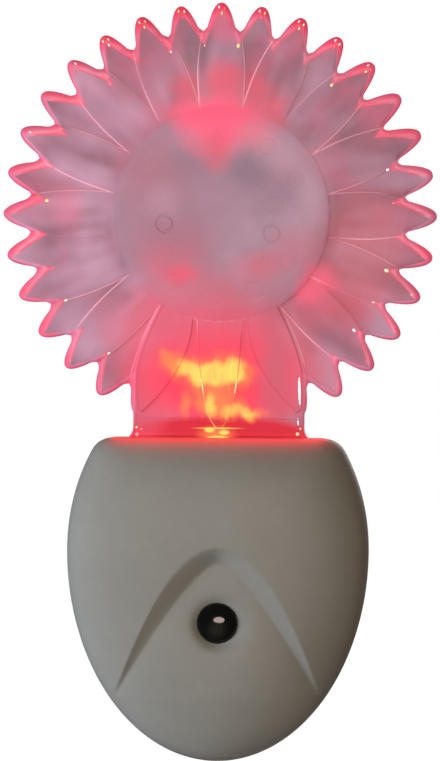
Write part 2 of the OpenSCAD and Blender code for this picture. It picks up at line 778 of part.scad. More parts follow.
// A part with a round body lying on the board between two pins
module lying_part(pins, r, long) {
  axis_d = board_front + r + lie_gap;
  mid = (pins[0] + pins[1]) / 2;
  gap = pins[1] - pins[0];
  across = gap[0] != 0;
  translate([mid[0], -axis_d, mid[1]]) rotate(across ? [0, 90, 0] : [0, 0, 0])
    cylinder(r = r, h = long, center = true);
  translate([mid[0], -axis_d, mid[1]])
    cube([across ? gap[0] : pin_w, pin_w, across ? pin_w : gap[1]], center = true);
  for (p = pins) pin(p, board_d, axis_d + pin_w / 2);
}

module fusible_resistor() color([0.55, 0.65, 0.75]) lying_part(FUSIBLE_PINS, fusible_r, fusible_l);

module bleed_resistor() color([0.8, 0.68, 0.5]) lying_part(BLEED_PINS, resistor_r, resistor_l);

module bias_resistor() color([0.8, 0.68, 0.5]) lying_part(BIAS_PINS, resistor_r, resistor_l);

module zener_diode() color([0.8, 0.35, 0.2]) lying_part(ZENER_PINS, zener_r, zener_l);

module rectifier_diodes() color([0.1, 0.1, 0.1])
  for (x = DIODE_X) lying_part([[x, DIODE_Z[0]], [x, DIODE_Z[1]]], diode_r, diode_l);

// Transistor: a round body with one flat side, on three pins
module transistor() color([0.1, 0.1, 0.1]) {
  base = board_front + transistor_lift;
  r = transistor_r;
  slab(base, base + transistor_h) translate(TRANSISTOR_PINS[1]) intersection() {
    circle(r = r);
    translate([-r, -r / 2]) square([2 * r, 3 * r / 2]);
  }
  for (p = TRANSISTOR_PINS) pin(p, board_d, base + 1);
}

// A leaf spring: a pad on the board at reach b, and an arm down to the contact at reach a
module wiper(a, b, contact_d) {
  pad = board_d;
  low = contact_d + wiper_gap;
  translate([0, 0, -wiper_w / 2]) linear_extrude(wiper_w) polygon([
    [b + 2.4, -pad], [b, -pad], [a + 0.7, -(low + wiper_t)], [a - 0.7, -(low + wiper_t)],
    [a - 0.7, -low], [a + 0.8, -low], [b + 0.15, -(pad - wiper_t)], [b + 2.4, -(pad - wiper_t)]
  ]);
}

// Leaf spring on the centre contact
module centre_wiper() color([0.85, 0.65, 0.3]) rotate([0, -90, 0]) wiper(0, 4.6, slip_front);

// Leaf spring on the ring contact
module ring_wiper() color([0.85, 0.65, 0.3]) wiper((slip_in_r + slip_out_r) / 2, 10.4, slip_front);

// ---- Turning plug ----

// Blade outline in plan: from depth d out past the wall, with a tapered tip
module blade_body(d) {
  half = blade_w / 2;
  difference() {
    rotate([90, 0, 90]) linear_extrude(blade_t, center = true) polygon([
      [-d, -half], [blade_l - blade_taper, -half], [blade_l, -half + blade_taper],
      [blade_l, half - blade_taper], [blade_l - blade_taper, half], [-d, half]
    ]);
    translate([0, blade_hole_y, 0]) rotate([0, 90, 0])
      cylinder(r = blade_hole_r, h = blade_t + 2 * over, center = true);
  }
}

// Wider shoulder that locks a blade in the insert
module blade_shoulder() {
  shoulder = blade_w / 2 + 1;
  slab(1, 1.8) square([blade_t, 2 * shoulder], center = true);
}

// Left blade, with a strip in the insert that leads to the middle
module blade_left() color([0.82, 0.7, 0.4]) {
  translate([-blade_pitch / 2, 0, 0]) {
    blade_body(strip_d[1]);
    blade_shoulder();
  }
  slab(strip_d[0], strip_d[1]) translate([-(blade_pitch + blade_t) / 2, -2])
    square([(blade_pitch + blade_t) / 2 + rivet_head_r, 4]);
}

// Right blade, up to the ring contact
module blade_right() color([0.82, 0.7, 0.4]) translate([blade_pitch / 2, 0, 0]) {
  blade_body(flange_front);
  blade_shoulder();
}

// Rivet from the left blade's strip to the middle of the insert
module centre_contact() color([0.85, 0.65, 0.3]) {
  rod([0, 0], rivet_r, strip_d[1], flange_front + over / 5);
  cap([0, 0], rivet_head_r, slip_t, flange_front);
}

// Ring on the insert, over the right blade's end
module ring_contact() color([0.85, 0.65, 0.3]) slab(flange_front, slip_front) ring_2d(slip_out_r, slip_in_r);

// Round insert with its flange and stop lug, moulded around the blades
module plug_disc() color([0.74, 0.72, 0.69]) {
  lug_mid = 270 - turn_angle / 2;
  difference() {
    union() {
      rod([0, 0], neck_r, 0, flange_back);
      rod([0, 0], flange_r, flange_back, flange_front);
      slab(flange_back, flange_front) intersection() {
        circle(r = flange_r + stop_reach);
        sector_2d(2 * flange_r, lug_mid - stop_half, lug_mid + stop_half);
      }
    }
    blade_left();
    blade_right();
    rod([0, 0], rivet_r, strip_d[1] - over / 5, flange_front + over);
  }
}

// Yoke that holds the insert in the rear cover
module plug_retainer() color([0.3, 0.3, 0.32]) slab(yoke_back, yoke_front) difference() {
  union() {
    circle(r = yoke_out_r);
    for (p = YOKE_SCREWS) translate(p) circle(r = ear_r);
  }
  circle(r = yoke_in_r);
  for (p = YOKE_SCREWS) translate(p) circle(r = small_screw_r + screw_pass);
}

// ---- Screws ----

module retainer_screws() color([0.6, 0.6, 0.62])
  for (p = YOKE_SCREWS) screw(p, small_screw_r, small_screw_l, small_head_r, 1, yoke_front, -1);

module board_screws() color([0.6, 0.6, 0.62])
  for (p = LOW_POSTS) screw(p, small_screw_r, small_screw_l, small_head_r, 1, board_front, -1);

module housing_screws() color([0.6, 0.6, 0.62])
  for (p = CASE_SCREWS) screw(p, case_screw_r, case_screw_l, case_head_r, 1.8, case_seat_d, 1);

front_cover();
rear_cover();
flower_shade();
sensor_lens();
photocell();
light_shield_tube();
circuit_board();
led();
led_leads();
led_holder();
film_capacitor();
electrolytic_capacitor();
fusible_resistor();
bleed_resistor();
bias_resistor();
rectifier_diodes();
zener_diode();
transistor();
centre_wiper();
ring_wiper();
plug_disc();
blade_left();
blade_right();
centre_contact();
ring_contact();
plug_retainer();
retainer_screws();
board_screws();
housing_screws();
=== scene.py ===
import math
import random

import bmesh
import bpy
import numpy as np
from mathutils import Euler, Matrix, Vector
from mathutils.geometry import delaunay_2d_cdt


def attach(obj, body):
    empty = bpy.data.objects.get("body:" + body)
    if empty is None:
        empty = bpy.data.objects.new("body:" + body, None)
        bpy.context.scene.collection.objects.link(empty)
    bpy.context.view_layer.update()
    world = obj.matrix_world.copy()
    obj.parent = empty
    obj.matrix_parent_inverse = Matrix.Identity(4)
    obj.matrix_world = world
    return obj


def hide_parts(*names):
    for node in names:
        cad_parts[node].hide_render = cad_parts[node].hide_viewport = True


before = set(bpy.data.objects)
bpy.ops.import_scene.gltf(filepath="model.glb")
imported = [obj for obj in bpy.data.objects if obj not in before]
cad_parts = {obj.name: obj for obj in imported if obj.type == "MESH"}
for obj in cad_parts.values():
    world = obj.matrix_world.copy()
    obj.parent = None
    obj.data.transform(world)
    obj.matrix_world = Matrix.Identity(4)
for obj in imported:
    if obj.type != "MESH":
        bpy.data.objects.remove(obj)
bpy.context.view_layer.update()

# ---- The studio ----
# A white room with a cool soft lamp close by on the left, one in front, a weak warm one on the right
# and one behind. A small red lamp over the housing's top stands in for the panel's own light, and
# the last lamp shows only as the shine in the sensor's window.
mm = 0.001
white = (1, 1, 1, 1)
scene = bpy.context.scene
scene.view_settings.view_transform = "Standard"


def add(tree, kind, inputs=(), **settings):
    """Adds a node. Its inputs are values, sockets to link from, or nodes that give their first output."""
    node = tree.nodes.new(kind)
    for key, value in settings.items():
        setattr(node, key, value)
    for key, value in dict(inputs).items():
        if isinstance(value, bpy.types.Node):
            value = value.outputs[0]
        if isinstance(value, bpy.types.NodeSocket):
            tree.links.new(value, node.inputs[key])
        else:
            node.inputs[key].default_value = value
    return node


def tree_of(values):
    """The node tree that the first socket among some values belongs to."""
    return next(value.id_data for value in values if isinstance(value, bpy.types.NodeSocket))


def maths(what, *values, clamp=False):
    """One sum on numbers, in the tree that they come from."""
    settings = {"operation": what, "use_clamp": clamp}
    return add(tree_of(values), "ShaderNodeMath", enumerate(values), **settings).outputs[0]


def times(first, second):
    return maths("MULTIPLY", first, second)


def emptied(block):
    """A material or world and its node tree, with nothing in it yet."""
    block.use_nodes = True
    block.node_tree.nodes.clear()
    return block, block.node_tree


def new_material(name):
    return emptied(bpy.data.materials.new(name))


# floor paper that stays white in the picture and still takes a shadow; it lies well below the
# light, which hangs on its plug
paper_white, tree = new_material("paper_floor")
paper = add(tree, "ShaderNodeBsdfDiffuse", {"Color": (0.8, 0.8, 0.8, 1)})
in_view = add(tree, "ShaderNodeLightPath").outputs["Is Camera Ray"]
lift = add(tree, "ShaderNodeEmission", {"Color": white, "Strength": times(in_view, 0.98)})
lit_paper = add(tree, "ShaderNodeAddShader", {0: paper, 1: lift})
add(tree, "ShaderNodeOutputMaterial", {"Surface": lit_paper})

floor_half, floor_z = 3000 * mm, -150 * mm
corners = [(x * floor_half, y * floor_half, floor_z) for x, y in ((-1, -1), (1, -1), (1, 1), (-1, 1))]
sheet = bpy.data.meshes.new("floor_paper")
sheet.from_pydata(corners, [], [(0, 1, 2, 3)])
sheet.materials.append(paper_white)
floor = bpy.data.objects.new("floor_paper", sheet)
scene.collection.objects.link(floor)
floor.visible_glossy = False

room, tree = emptied(bpy.data.worlds.new("white_room"))
path = add(tree, "ShaderNodeLightPath").outputs
in_view = maths("MAXIMUM", path["Is Camera Ray"], path["Is Transmission Ray"])
air = add(tree, "ShaderNodeBackground", {"Color": (1.0, 0.85, 0.72, 1), "Strength": 0.09})
backdrop = add(tree, "ShaderNodeBackground", {"Color": white, "Strength": 1.0})
seen_room = add(tree, "ShaderNodeMixShader", {0: in_view, 1: air, 2: backdrop})
add(tree, "ShaderNodeOutputWorld", {"Surface": seen_room})
scene.world = room

# place, the point it aims at, width, watts, colour, how much wider than high, and what can't see it
lamps = {
    "lamp_front": ((-0.153, -0.379, 0.133), (0, 0, 0), 0.14, 0.91, (1.0, 0.93, 0.80), 1.7, "glossy"),
    "lamp_left": ((-0.215, -0.100, 0.006), (0, -0.02, 0), 0.08, 0.55, (0.61, 0.77, 1.0), 1.0, "glossy"),
    "lamp_right": ((0.42, -0.08, 0.04), (0, 0, 0), 0.14, 0.13, (1.0, 0.50, 0.20), 1.0, "glossy"),
    "lamp_behind": ((0.25, 0.50, 0.25), (0, 0, 0.03), 0.35, 1.2, (1.0, 0.98, 0.95), 1.0, None),
    "panel_glow": ((0, -0.016, 0.0315), (0, -0.023, 0.026), 0.01, 0.006, (1.0, 0.012, 0.03), 3.7, "camera"),
    "window_shine": ((0.05, -0.50, 0.10), (0, 0, 0), 0.20, 2.1, (1.0, 0.80, 0.70), 1.9, "diffuse"),
}
for name, (place, target, width, watts, colour, stretch, unseen) in lamps.items():
    lamp = bpy.data.lights.new(name, "AREA")
    lamp.size = width
    lamp.energy = watts
    lamp.color = colour
    lamp_stand = bpy.data.objects.new(name, lamp)
    lamp_stand.location = place
    lamp_stand.rotation_euler = (Vector(target) - Vector(place)).to_track_quat("-Z", "Y").to_euler()
    lamp_stand.scale.x = stretch
    scene.collection.objects.link(lamp_stand)
    if unseen:
        setattr(lamp_stand, f"visible_{unseen}", False)
scene.objects["window_shine"].data.shape = "DISK"

# the camera looks a little up, from far enough off to see the front almost straight
picture_h, stand_off, eye_drop = 129.9 * mm, 640 * mm, 6 * mm
aim = Vector((0.15 * mm, -13 * mm, 38.75 * mm))
eye = aim + Vector((0, -stand_off, -eye_drop))
roll = math.radians(0.4)
camera = bpy.data.cameras.new("camera")
camera.lens = camera.sensor_width * stand_off / picture_h
camera_stand = bpy.data.objects.new("camera", camera)
camera_stand.location = eye
turned = (aim - eye).to_track_quat("-Z", "Y") @ Euler((0, 0, roll)).to_quaternion()
camera_stand.rotation_euler = turned.to_euler()
scene.collection.objects.link(camera_stand)
scene.camera = camera_stand

# ---- Rear cover ----
# The back half of the housing, injection moulded in warm grey ABS with a fine spark-eroded grain.
# Three screws in deep wells hold it to the front cover, and the plug turns in its round hole.
base_w, base_h = 51.4 * mm, 55 * mm
waist_h, shoulder_h = 36 * mm, 31 * mm
corner_drop, corner_run = 2.2 * mm, 3 * mm
plug_h = 26 * mm
top_z = base_h - plug_h
seam_d = 12 * mm
wall, back_wall = 2.2 * mm, 2.4 * mm
foot_step, edge_r = 0.8 * mm, 0.35 * mm
neck_hole_r = 10.98 * mm
case_screws = [(-17.3 * mm, 14.5 * mm), (17.3 * mm, 14.5 * mm), (0, -20 * mm)]
well_in_r, well_out_r, well_d, screw_hole_r = 2.6 * mm, 3.6 * mm, 8 * mm, 1.5 * mm
slot_half, slot_back, slot_front, slot_floor = 14.75 * mm, 9.65 * mm, 14.75 * mm, 19.35 * mm
past = 1 * mm  # how far a cutting tool reaches past what it cuts


def outline(inset):
    """The housing's outline in front view, anticlockwise from the middle of its bottom."""
    low_steps, up_steps, corner_steps, top_steps = 64, 20, 10, 30
    half_w, low, up = base_w / 2 - inset, waist_h - inset, shoulder_h - inset
    top = base_h - inset - waist_h
    rise = top - corner_drop
    side = math.sqrt(1 - (rise / up) ** 2)
    from_x = half_w * side
    bend_x = from_x - half_w * rise / (up * up * side) * corner_drop
    to_x = bend_x - corner_run
    half = []
    for i in range(low_steps):
        t = math.radians(-90 + 90 * i / low_steps)
        half.append((half_w * math.cos(t), waist_h + low * math.sin(t)))
    for i in range(up_steps + 1):
        t = math.asin(rise / up) * i / up_steps
        half.append((half_w * math.cos(t), waist_h + up * math.sin(t)))
    for i in range(1, corner_steps + 1):
        t = i / corner_steps
        half.append(((1 - t) ** 2 * from_x + 2 * t * (1 - t) * bend_x + t * t * to_x,
                     waist_h + (1 - t) ** 2 * rise + (1 - (1 - t) ** 2) * top))
    half += [(to_x * (1 - i / top_steps), base_h - inset) for i in range(1, top_steps + 1)]
    left = [(-x, h) for x, h in half[-2:0:-1]]
    return np.array([(x, h - plug_h) for x, h in half + left])


def circle(x, z, r, steps=96):
    turn = np.linspace(0, 2 * math.pi, steps, endpoint=False)
    return np.column_stack([x + r * np.cos(turn), z + r * np.sin(turn)])


def box_edge(half_w, low, high):
    return np.array([(-half_w, low), (half_w, low), (half_w, high), (-half_w, high)])


def at_depth(flat, d):
    """Points of a front view, set at a depth from the wall plane."""
    return np.column_stack([flat[:, 0], np.full(len(flat), 0.0) - d, flat[:, 1]])


def prism(flat, back, front):
    """A front view drawn out from one depth to another, as two rings."""
    return [at_depth(flat, back), at_depth(flat, front)]


def skin(rings, closed=False):
    """Faces between rings of equally many points; the ends are capped, or joined if closed."""
    n, count = len(rings[0]), len(rings)
    faces = []
    for k in range(count if closed else count - 1):
        low, high = k * n, (k + 1) % count * n
        faces += [(low + i, low + (i + 1) % n, high + (i + 1) % n, high + i) for i in range(n)]
    if not closed:
        faces += [tuple(range(n))[::-1], tuple(range((count - 1) * n, count * n))]
    return faces


def finish_piece(name, mesh, materials, body, sharp=35):
    """Turns a mesh into a piece: faces outward, smooth up to the sharp angle, on its body."""
    loose = bmesh.new()
    loose.from_mesh(mesh)
    bmesh.ops.recalc_face_normals(loose, faces=loose.faces)
    loose.to_mesh(mesh)
    loose.free()
    for material in materials:
        mesh.materials.append(material)
    mesh.polygons.foreach_set("use_smooth", [True] * len(mesh.polygons))
    mesh.set_sharp_from_angle(angle=math.radians(sharp))
    piece = bpy.data.objects.new(name, mesh)
    scene.collection.objects.link(piece)
    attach(piece, body)
    return piece


def make(name, skins, material, body, sharp=35):
    """One piece from several skins, given as (rings, closed) pairs."""
    points, faces = [], []
    for rings, closed in skins:
        first = sum(len(ring) for ring in points)
        faces += [tuple(first + i for i in face) for face in skin(rings, closed)]
        points += list(rings)
    mesh = bpy.data.meshes.new(name)
    mesh.from_pydata(np.concatenate(points).tolist(), [], faces)
    return finish_piece(name, mesh, [material], body, sharp)


def cut(piece, tools, sharp=35):
    """Cuts tool solids, given as rings, out of a piece."""
    for rings in tools:
        mesh = bpy.data.meshes.new("tool")
        mesh.from_pydata(np.concatenate(rings).tolist(), [], skin(rings))
        tool = bpy.data.objects.new("tool", mesh)
        scene.collection.objects.link(tool)
        step = piece.modifiers.new("cut", "BOOLEAN")
        step.operation, step.solver, step.object = "DIFFERENCE", "EXACT", tool
        bpy.context.view_layer.update()
        evaluated = piece.evaluated_get(bpy.context.evaluated_depsgraph_get())
        result = bpy.data.meshes.new_from_object(evaluated)
        piece.modifiers.remove(step)
        piece.data = result
        bpy.data.objects.remove(tool)
    piece.data.set_sharp_from_angle(angle=math.radians(sharp))


def rgb(r, g, b):
    """A colour as it looks on a screen, 0 to 255, in the straight values that shaders take."""
    shares = [c / 255 for c in (r, g, b)]
    return (*(c / 12.92 if c <= 0.04045 else ((c + 0.055) / 1.055) ** 2.4 for c in shares), 1.0)


def object_place(tree):
    """Where a point lies on the whole object, in metres."""
    return add(tree, "ShaderNodeTexCoord").outputs["Object"]


def scaled(colour, share):
    """A colour or place times a number."""
    inputs = {0: colour, "Scale": share}
    return add(tree_of((colour, share)), "ShaderNodeVectorMath", inputs, operation="SCALE").outputs[0]


def noise(place, scale, detail, rough=0.5):
    """Cloudy noise, around a half. Scale is its clouds in a metre, detail how many finer layers."""
    inputs = {"Vector": place, "Scale": scale, "Detail": detail, "Roughness": rough}
    return add(place.id_data, "ShaderNodeTexNoise", inputs).outputs["Fac"]


def spread(value, start, end, low=0.0, high=1.0, soft=False):
    """Low up to the start value, high from the end value on, and a straight or soft slope between."""
    inputs = {0: value, 1: start, 2: end, 3: low, 4: high}
    slope = "SMOOTHSTEP" if soft else "LINEAR"
    return add(value.id_data, "ShaderNodeMapRange", inputs, interpolation_type=slope).outputs[0]


def mix(share, first, second):
    """A colour between two."""
    inputs = {0: share, 6: first, 7: second}
    return add(share.id_data, "ShaderNodeMix", inputs, data_type="RGBA").outputs[2]


def bump(height, strength, deep):
    """Normals of small bumps."""
    inputs = {"Height": height, "Strength": strength, "Distance": deep}
    return add(height.id_data, "ShaderNodeBump", inputs).outputs[0]


def group(name, inputs):
    """A new node group, and its named inputs, each with its usual number, place or colour."""
    kinds = {1: "NodeSocketFloat", 3: "NodeSocketVector", 4: "NodeSocketColor"}
    tree = bpy.data.node_groups.new(name, "ShaderNodeTree")
    for key, value in inputs.items():
        socket = tree.interface.new_socket(key, in_out="INPUT", socket_type=kinds[np.size(value)])
        socket.default_value = value
    return tree, add(tree, "NodeGroupInput").outputs


def give(results):
    """Ends a group with its named results: Colour is a colour, and the others are numbers."""
    tree = tree_of(results.values())
    for key in results:
        kind = "NodeSocketColor" if key == "Colour" else "NodeSocketFloat"
        tree.interface.new_socket(key, in_out="OUTPUT", socket_type=kind)
    add(tree, "NodeGroupOutput", results)
    return tree


def use(made, tree, inputs):
    """Places a group in a tree with values of its own, and gives its results."""
    return add(tree, "ShaderNodeGroup", inputs, node_tree=made).outputs


def coat(material, inputs):
    """Ends a material with its one shader."""
    shader = add(material.node_tree, "ShaderNodeBsdfPrincipled", inputs)
    add(material.node_tree, "ShaderNodeOutputMaterial", {"Surface": shader})
    return material


def moulded_surface():
    """Moulded plastic: soft clouding of the colour, fine grain, and dust that greys it a little."""
    tree, given = group("moulded_surface", {
        "Colour": (0.5, 0.5, 0.5, 1), "Dust Colour": (0.5, 0.48, 0.45, 1), "Grain": 2600.0,
        "Clouding": 0.04, "Roughness": 0.5})
    place = object_place(tree)
    clouds = spread(noise(place, 55.0, 4.0, 0.55), 0.3, 0.7, -1.0, 1.0)
    shade = maths("ADD", times(clouds, given["Clouding"]), 1.0)
    dust = spread(noise(place, 420.0, 5.0, 0.7), 0.5, 0.8, 0.0, 0.05)
    colour = mix(dust, scaled(given["Colour"], shade), given["Dust Colour"])
    specks = noise(place, given["Grain"], 2.0)
    rough = maths("ADD", spread(specks, 0.3, 0.7, -0.05, 0.05), given["Roughness"])
    return give({"Colour": colour, "Roughness": rough, "Height": specks})


moulded = moulded_surface()


def plastic(name, colour, grain=2600.0, clouding=0.04, roughness=0.5):
    """A plain moulded plastic: the moulded surface with its own values."""
    material, tree = new_material(name)
    surface = use(moulded, tree, {
        "Colour": colour, "Grain": grain, "Clouding": clouding, "Roughness": roughness})
    return coat(material, {
        "Base Color": surface["Colour"], "Roughness": surface["Roughness"],
        "Normal": bump(surface["Height"], 0.15, 0.06 * mm), "Specular IOR Level": 0.22})


back_plastic = plastic("back_plastic", rgb(124, 119, 112), roughness=0.55)
shell = [
    (foot_step + edge_r, 0), (foot_step + edge_r * 0.3, edge_r * 0.3), (foot_step, edge_r),
    (foot_step, foot_step - edge_r * 0.5), (foot_step - 0.1 * mm, foot_step), (edge_r, foot_step),
    (edge_r * 0.3, foot_step + edge_r * 0.3), (0, foot_step + edge_r), (0, seam_d - 0.3 * mm),
    (0.12 * mm, seam_d - 0.1 * mm), (0.3 * mm, seam_d), (wall, seam_d), (wall, back_wall),
]
rear = make("rear_shell", [([at_depth(outline(inset), d) for inset, d in shell], False)],
            back_plastic, "light")
foot_slot = prism(box_edge(slot_half, slot_floor, top_z + 2 * past), slot_back, slot_front)
holes = [prism(circle(x, z, r), -past, back_wall + past)
         for x, z, r in [(0, 0, neck_hole_r)] + [(x, z, well_in_r) for x, z in case_screws]]
cut(rear, [holes[0], foot_slot] + holes[1:])
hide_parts("rear_cover")

# a well runs from the back face to the front cover, and the screw's head sits on its floor
well = [(well_in_r, 0.1 * mm), (well_in_r, well_d), (screw_hole_r, well_d), (screw_hole_r, seam_d),
        (well_out_r, seam_d), (well_out_r, 0.1 * mm)]
well_skins = [([at_depth(circle(x, z, r), d) for r, d in well], True) for x, z in case_screws]
wells = make("screw_wells", well_skins, back_plastic, "light")
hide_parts("rear_cover")

# ---- Plug insert ----
# The round piece that the light turns on: ABS moulded around two stamped brass blades. Inside, a
# rivet in its middle and a brass ring around it are the contacts that the leaf springs ride on.
def dress(material, *names):
    """Gives CAD parts their material."""
    for name in names:
        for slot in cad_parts[name].material_slots:
            slot.link = "OBJECT"
            slot.material = material


def vector(what, *values):
    """One sum on places. It gives a place, or a number where that is what the sum ends in."""
    node = add(tree_of(values), "ShaderNodeVectorMath", enumerate(values), operation=what)
    return node.outputs["Value" if what in ("LENGTH", "DISTANCE", "DOT_PRODUCT") else "Vector"]


def rolled_metal():
    """Sheet metal: fine lines along its rolling, patches that have dulled, and small scuffs."""
    tree, given = group("rolled_metal", {
        "Colour": (0.6, 0.6, 0.6, 1), "Dull Colour": (0.4, 0.4, 0.4, 1), "Grain": (3000, 3000, 120),
        "Dulling": 0.4, "Roughness": 0.3})
    place = object_place(tree)
    lines = noise(vector("MULTIPLY", place, given["Grain"]), 1.0, 3.0)
    dull = times(spread(noise(place, 380.0, 4.0, 0.6), 0.42, 0.7), given["Dulling"])
    rough = maths("ADD", spread(lines, 0.3, 0.7, -0.07, 0.09), given["Roughness"])
    rough = maths("MULTIPLY_ADD", dull, 0.25, rough)
    colour = mix(dull, given["Colour"], given["Dull Colour"])
    return give({"Colour": colour, "Roughness": rough, "Height": lines})


rolled = rolled_metal()


def metal(name, colour, dull, grain, dulling=0.4, roughness=0.3):
    """A bare metal: the rolled metal with its own values."""
    material, tree = new_material(name)
    surface = use(rolled, tree, {
        "Colour": colour, "Dull Colour": dull, "Grain": grain, "Dulling": dulling, "Roughness": roughness})
    return coat(material, {
        "Base Color": surface["Colour"], "Roughness": surface["Roughness"], "Metallic": 1.0,
        "Normal": bump(surface["Height"], 0.12, 0.04 * mm)})


blade_brass = metal("blade_brass", rgb(222, 196, 132), rgb(168, 140, 88), (240, 240, 5200))
contact_brass = metal("contact_brass", rgb(226, 178, 104), rgb(160, 116, 66), (2600, 2600, 2600),
                      dulling=0.5, roughness=0.34)
dress(plastic("plug_plastic", rgb(118, 113, 106), clouding=0.06), "plug_disc")
dress(blade_brass, "blade_left", "blade_right")
dress(contact_brass, "centre_contact", "ring_contact")

# ---- Plug retainer ----
# A flat ring of dark nylon with two ears, that holds the plug insert in the rear cover and lets
# it turn, and the two small steel screws through its ears.
yoke_plastic = plastic("yoke_plastic", rgb(58, 58, 61), grain=1900.0, clouding=0.1, roughness=0.45)
screw_steel = metal("screw_steel", rgb(186, 186, 188), rgb(120, 120, 122), (1500, 1500, 1500),
                    dulling=0.35)
dress(yoke_plastic, "plug_retainer")
dress(screw_steel, "retainer_screws")

# ---- Circuit board ----
# Green glass-fibre laminate, sheared from a panel, on moulded posts. Two leaf springs of phosphor
# bronze are soldered to its back and reach the plug's contacts; two steel screws hold it.
def laminate_weave():
    """Glass cloth under green lacquer: the weave's small bumps, and paler lacquer over the tracks."""
    tree, given = group("laminate_weave", {
        "Lacquer": (0.02, 0.1, 0.04, 1), "Over Tracks": (0.05, 0.18, 0.06, 1), "Thread": 900.0,
        "Track Scale": 210.0})
    place = object_place(tree)
    threads = {"Vector": place, "Scale": given["Thread"], "Distortion": 0.6}
    bands = [add(tree, "ShaderNodeTexWave", threads, bands_direction=way).outputs["Fac"] for way in "XZ"]
    cells = add(tree, "ShaderNodeTexVoronoi", {"Vector": place, "Scale": given["Track Scale"]},
                distance="CHEBYCHEV", feature="F1")
    track = spread(cells.outputs["Distance"], 0.42, 0.46)
    height = maths("MULTIPLY_ADD", times(*bands), 0.25, track)
    return give({"Colour": mix(track, given["Lacquer"], given["Over Tracks"]), "Height": height})


board_laminate, tree = new_material("board_laminate")
weave = use(laminate_weave(), tree, {"Lacquer": rgb(24, 88, 48), "Over Tracks": rgb(46, 116, 62)})
coat(board_laminate, {"Base Color": weave["Colour"], "Roughness": 0.35,
                      "Normal": bump(weave["Height"], 0.3, 0.05 * mm), "Coat Weight": 0.25})
spring_bronze = metal("spring_bronze", rgb(208, 150, 92), rgb(150, 98, 58), (4200, 4200, 300),
                      dulling=0.45, roughness=0.32)
dress(board_laminate, "circuit_board")
dress(spring_bronze, "centre_wiper", "ring_wiper")
dress(screw_steel, "board_screws")

# ---- Parts on the board ----
# Through-hole parts, soldered in by tinned wires: a dipped film capacitor and a can in a plain sleeve,
# three resistors with colour rings, four moulded diodes, a glass Zener diode and a transistor.
board_front = 9 * mm
out_of_wall, up, across = (0, -1, 0), (0, 0, 1), (1, 0, 0)
tinned = rgb(196, 196, 194)
brown, black, red, gold = rgb(92, 52, 30), rgb(22, 20, 20), rgb(176, 36, 28), rgb(184, 146, 70)
violet, orange, pale = rgb(104, 62, 140), rgb(214, 110, 40), rgb(196, 200, 204)
ring_places, ring_half_w = (-0.68, -0.4, -0.12, 0.6), 0.08


def part_span():
    """Where a point lies along a part: from -1 to 1 over its body, and a mask of the body itself."""
    tree, given = group("part_span", {"Axis": (0, 0, 1), "Middle": 0.0, "Half": 3 * mm})
    along = vector("DOT_PRODUCT", object_place(tree), given["Axis"])
    along = maths("DIVIDE", maths("SUBTRACT", along, given["Middle"]), given["Half"])
    return give({"Along": along, "Body": maths("LESS_THAN", maths("ABSOLUTE", along), 1.01)})


def dipped_coat():
    """A dipped or moulded coat: the colour pools darker and lighter, over soft dimples."""
    tree, given = group("dipped_coat", {"Colour": (0.5, 0.2, 0.1, 1), "Pooling": 0.12, "Dimples": 900.0})
    place = object_place(tree)
    pools = spread(noise(place, 260.0, 3.0), 0.3, 0.7, -1.0, 1.0)
    shade = maths("MULTIPLY_ADD", pools, given["Pooling"], 1.0)
    return give({"Colour": scaled(given["Colour"], shade), "Height": noise(place, given["Dimples"], 1.0)})


span_tree, coat_tree = part_span(), dipped_coat()


def wired_part(name, colour, axis, middle, half, bands=(), roughness=0.3, gloss=0.3, dimples=900.0):
    """A coated body on tinned wires. Bands are rings round the body: place, half width, colour."""
    material, tree = new_material(name)
    span = use(span_tree, tree, {"Axis": axis, "Middle": middle, "Half": half})
    dipped = use(coat_tree, tree, {"Colour": colour, "Dimples": dimples})
    tone, body = dipped["Colour"], span["Body"]
    for at, half_w, tint in bands:
        away = maths("ABSOLUTE", maths("SUBTRACT", span["Along"], at))
        tone = mix(maths("LESS_THAN", away, half_w), tone, tint)
    return coat(material, {
        "Base Color": mix(body, tinned, tone), "Metallic": maths("SUBTRACT", 1.0, body),
        "Roughness": roughness, "Coat Weight": times(body, gloss),
        "Normal": bump(dipped["Height"], 0.25, 0.1 * mm)})


def ring_code(*tints):
    """A resistor's four colour rings."""
    return [(at, ring_half_w, tint) for at, tint in zip(ring_places, tints)]


# finish, colour, the way the part points, its middle and half length, bands, roughness, gloss, dimples
wired_parts = {
    "film_capacitor": ("film_case", rgb(176, 48, 34), out_of_wall, board_front + 4.25 * mm, 4.25 * mm,
                       (), 0.3, 0.3, 500.0),
    "electrolytic_capacitor": ("can_sleeve", rgb(34, 40, 78), out_of_wall, board_front + 3.75 * mm,
                               3.75 * mm, [(0.97, 0.05, pale)], 0.3, 0.5, 300.0),
    "fusible_resistor": ("blue_resistor", rgb(112, 150, 180), up, 3 * mm, 4.3 * mm,
                         ring_code(red, violet, black, gold), 0.35),
    "bleed_resistor": ("tan_resistor", rgb(200, 168, 118), up, 3 * mm, 3.1 * mm,
                       ring_code(brown, black, orange, gold), 0.4),
    "bias_resistor": ("bias_resistor", rgb(200, 168, 118), across, 8.5 * mm, 3.1 * mm,
                      ring_code(red, violet, orange, gold), 0.4),
    "rectifier_diodes": ("black_epoxy", rgb(30, 29, 29), up, -11.8 * mm, 2.1 * mm,
                         [(0.66, 0.14, pale)], 0.45, 0.0),
    "zener_diode": ("zener_glass", rgb(206, 104, 58), across, -8.7 * mm, 1.8 * mm,
                    [(0.6, 0.16, black)], 0.12, 0.8),
    "transistor": ("transistor_epoxy", rgb(27, 26, 26), out_of_wall, board_front + 4.3 * mm, 2.3 * mm,
                   (), 0.5, 0.0),
}
for name, values in wired_parts.items():
    dress(wired_part(*values), name)

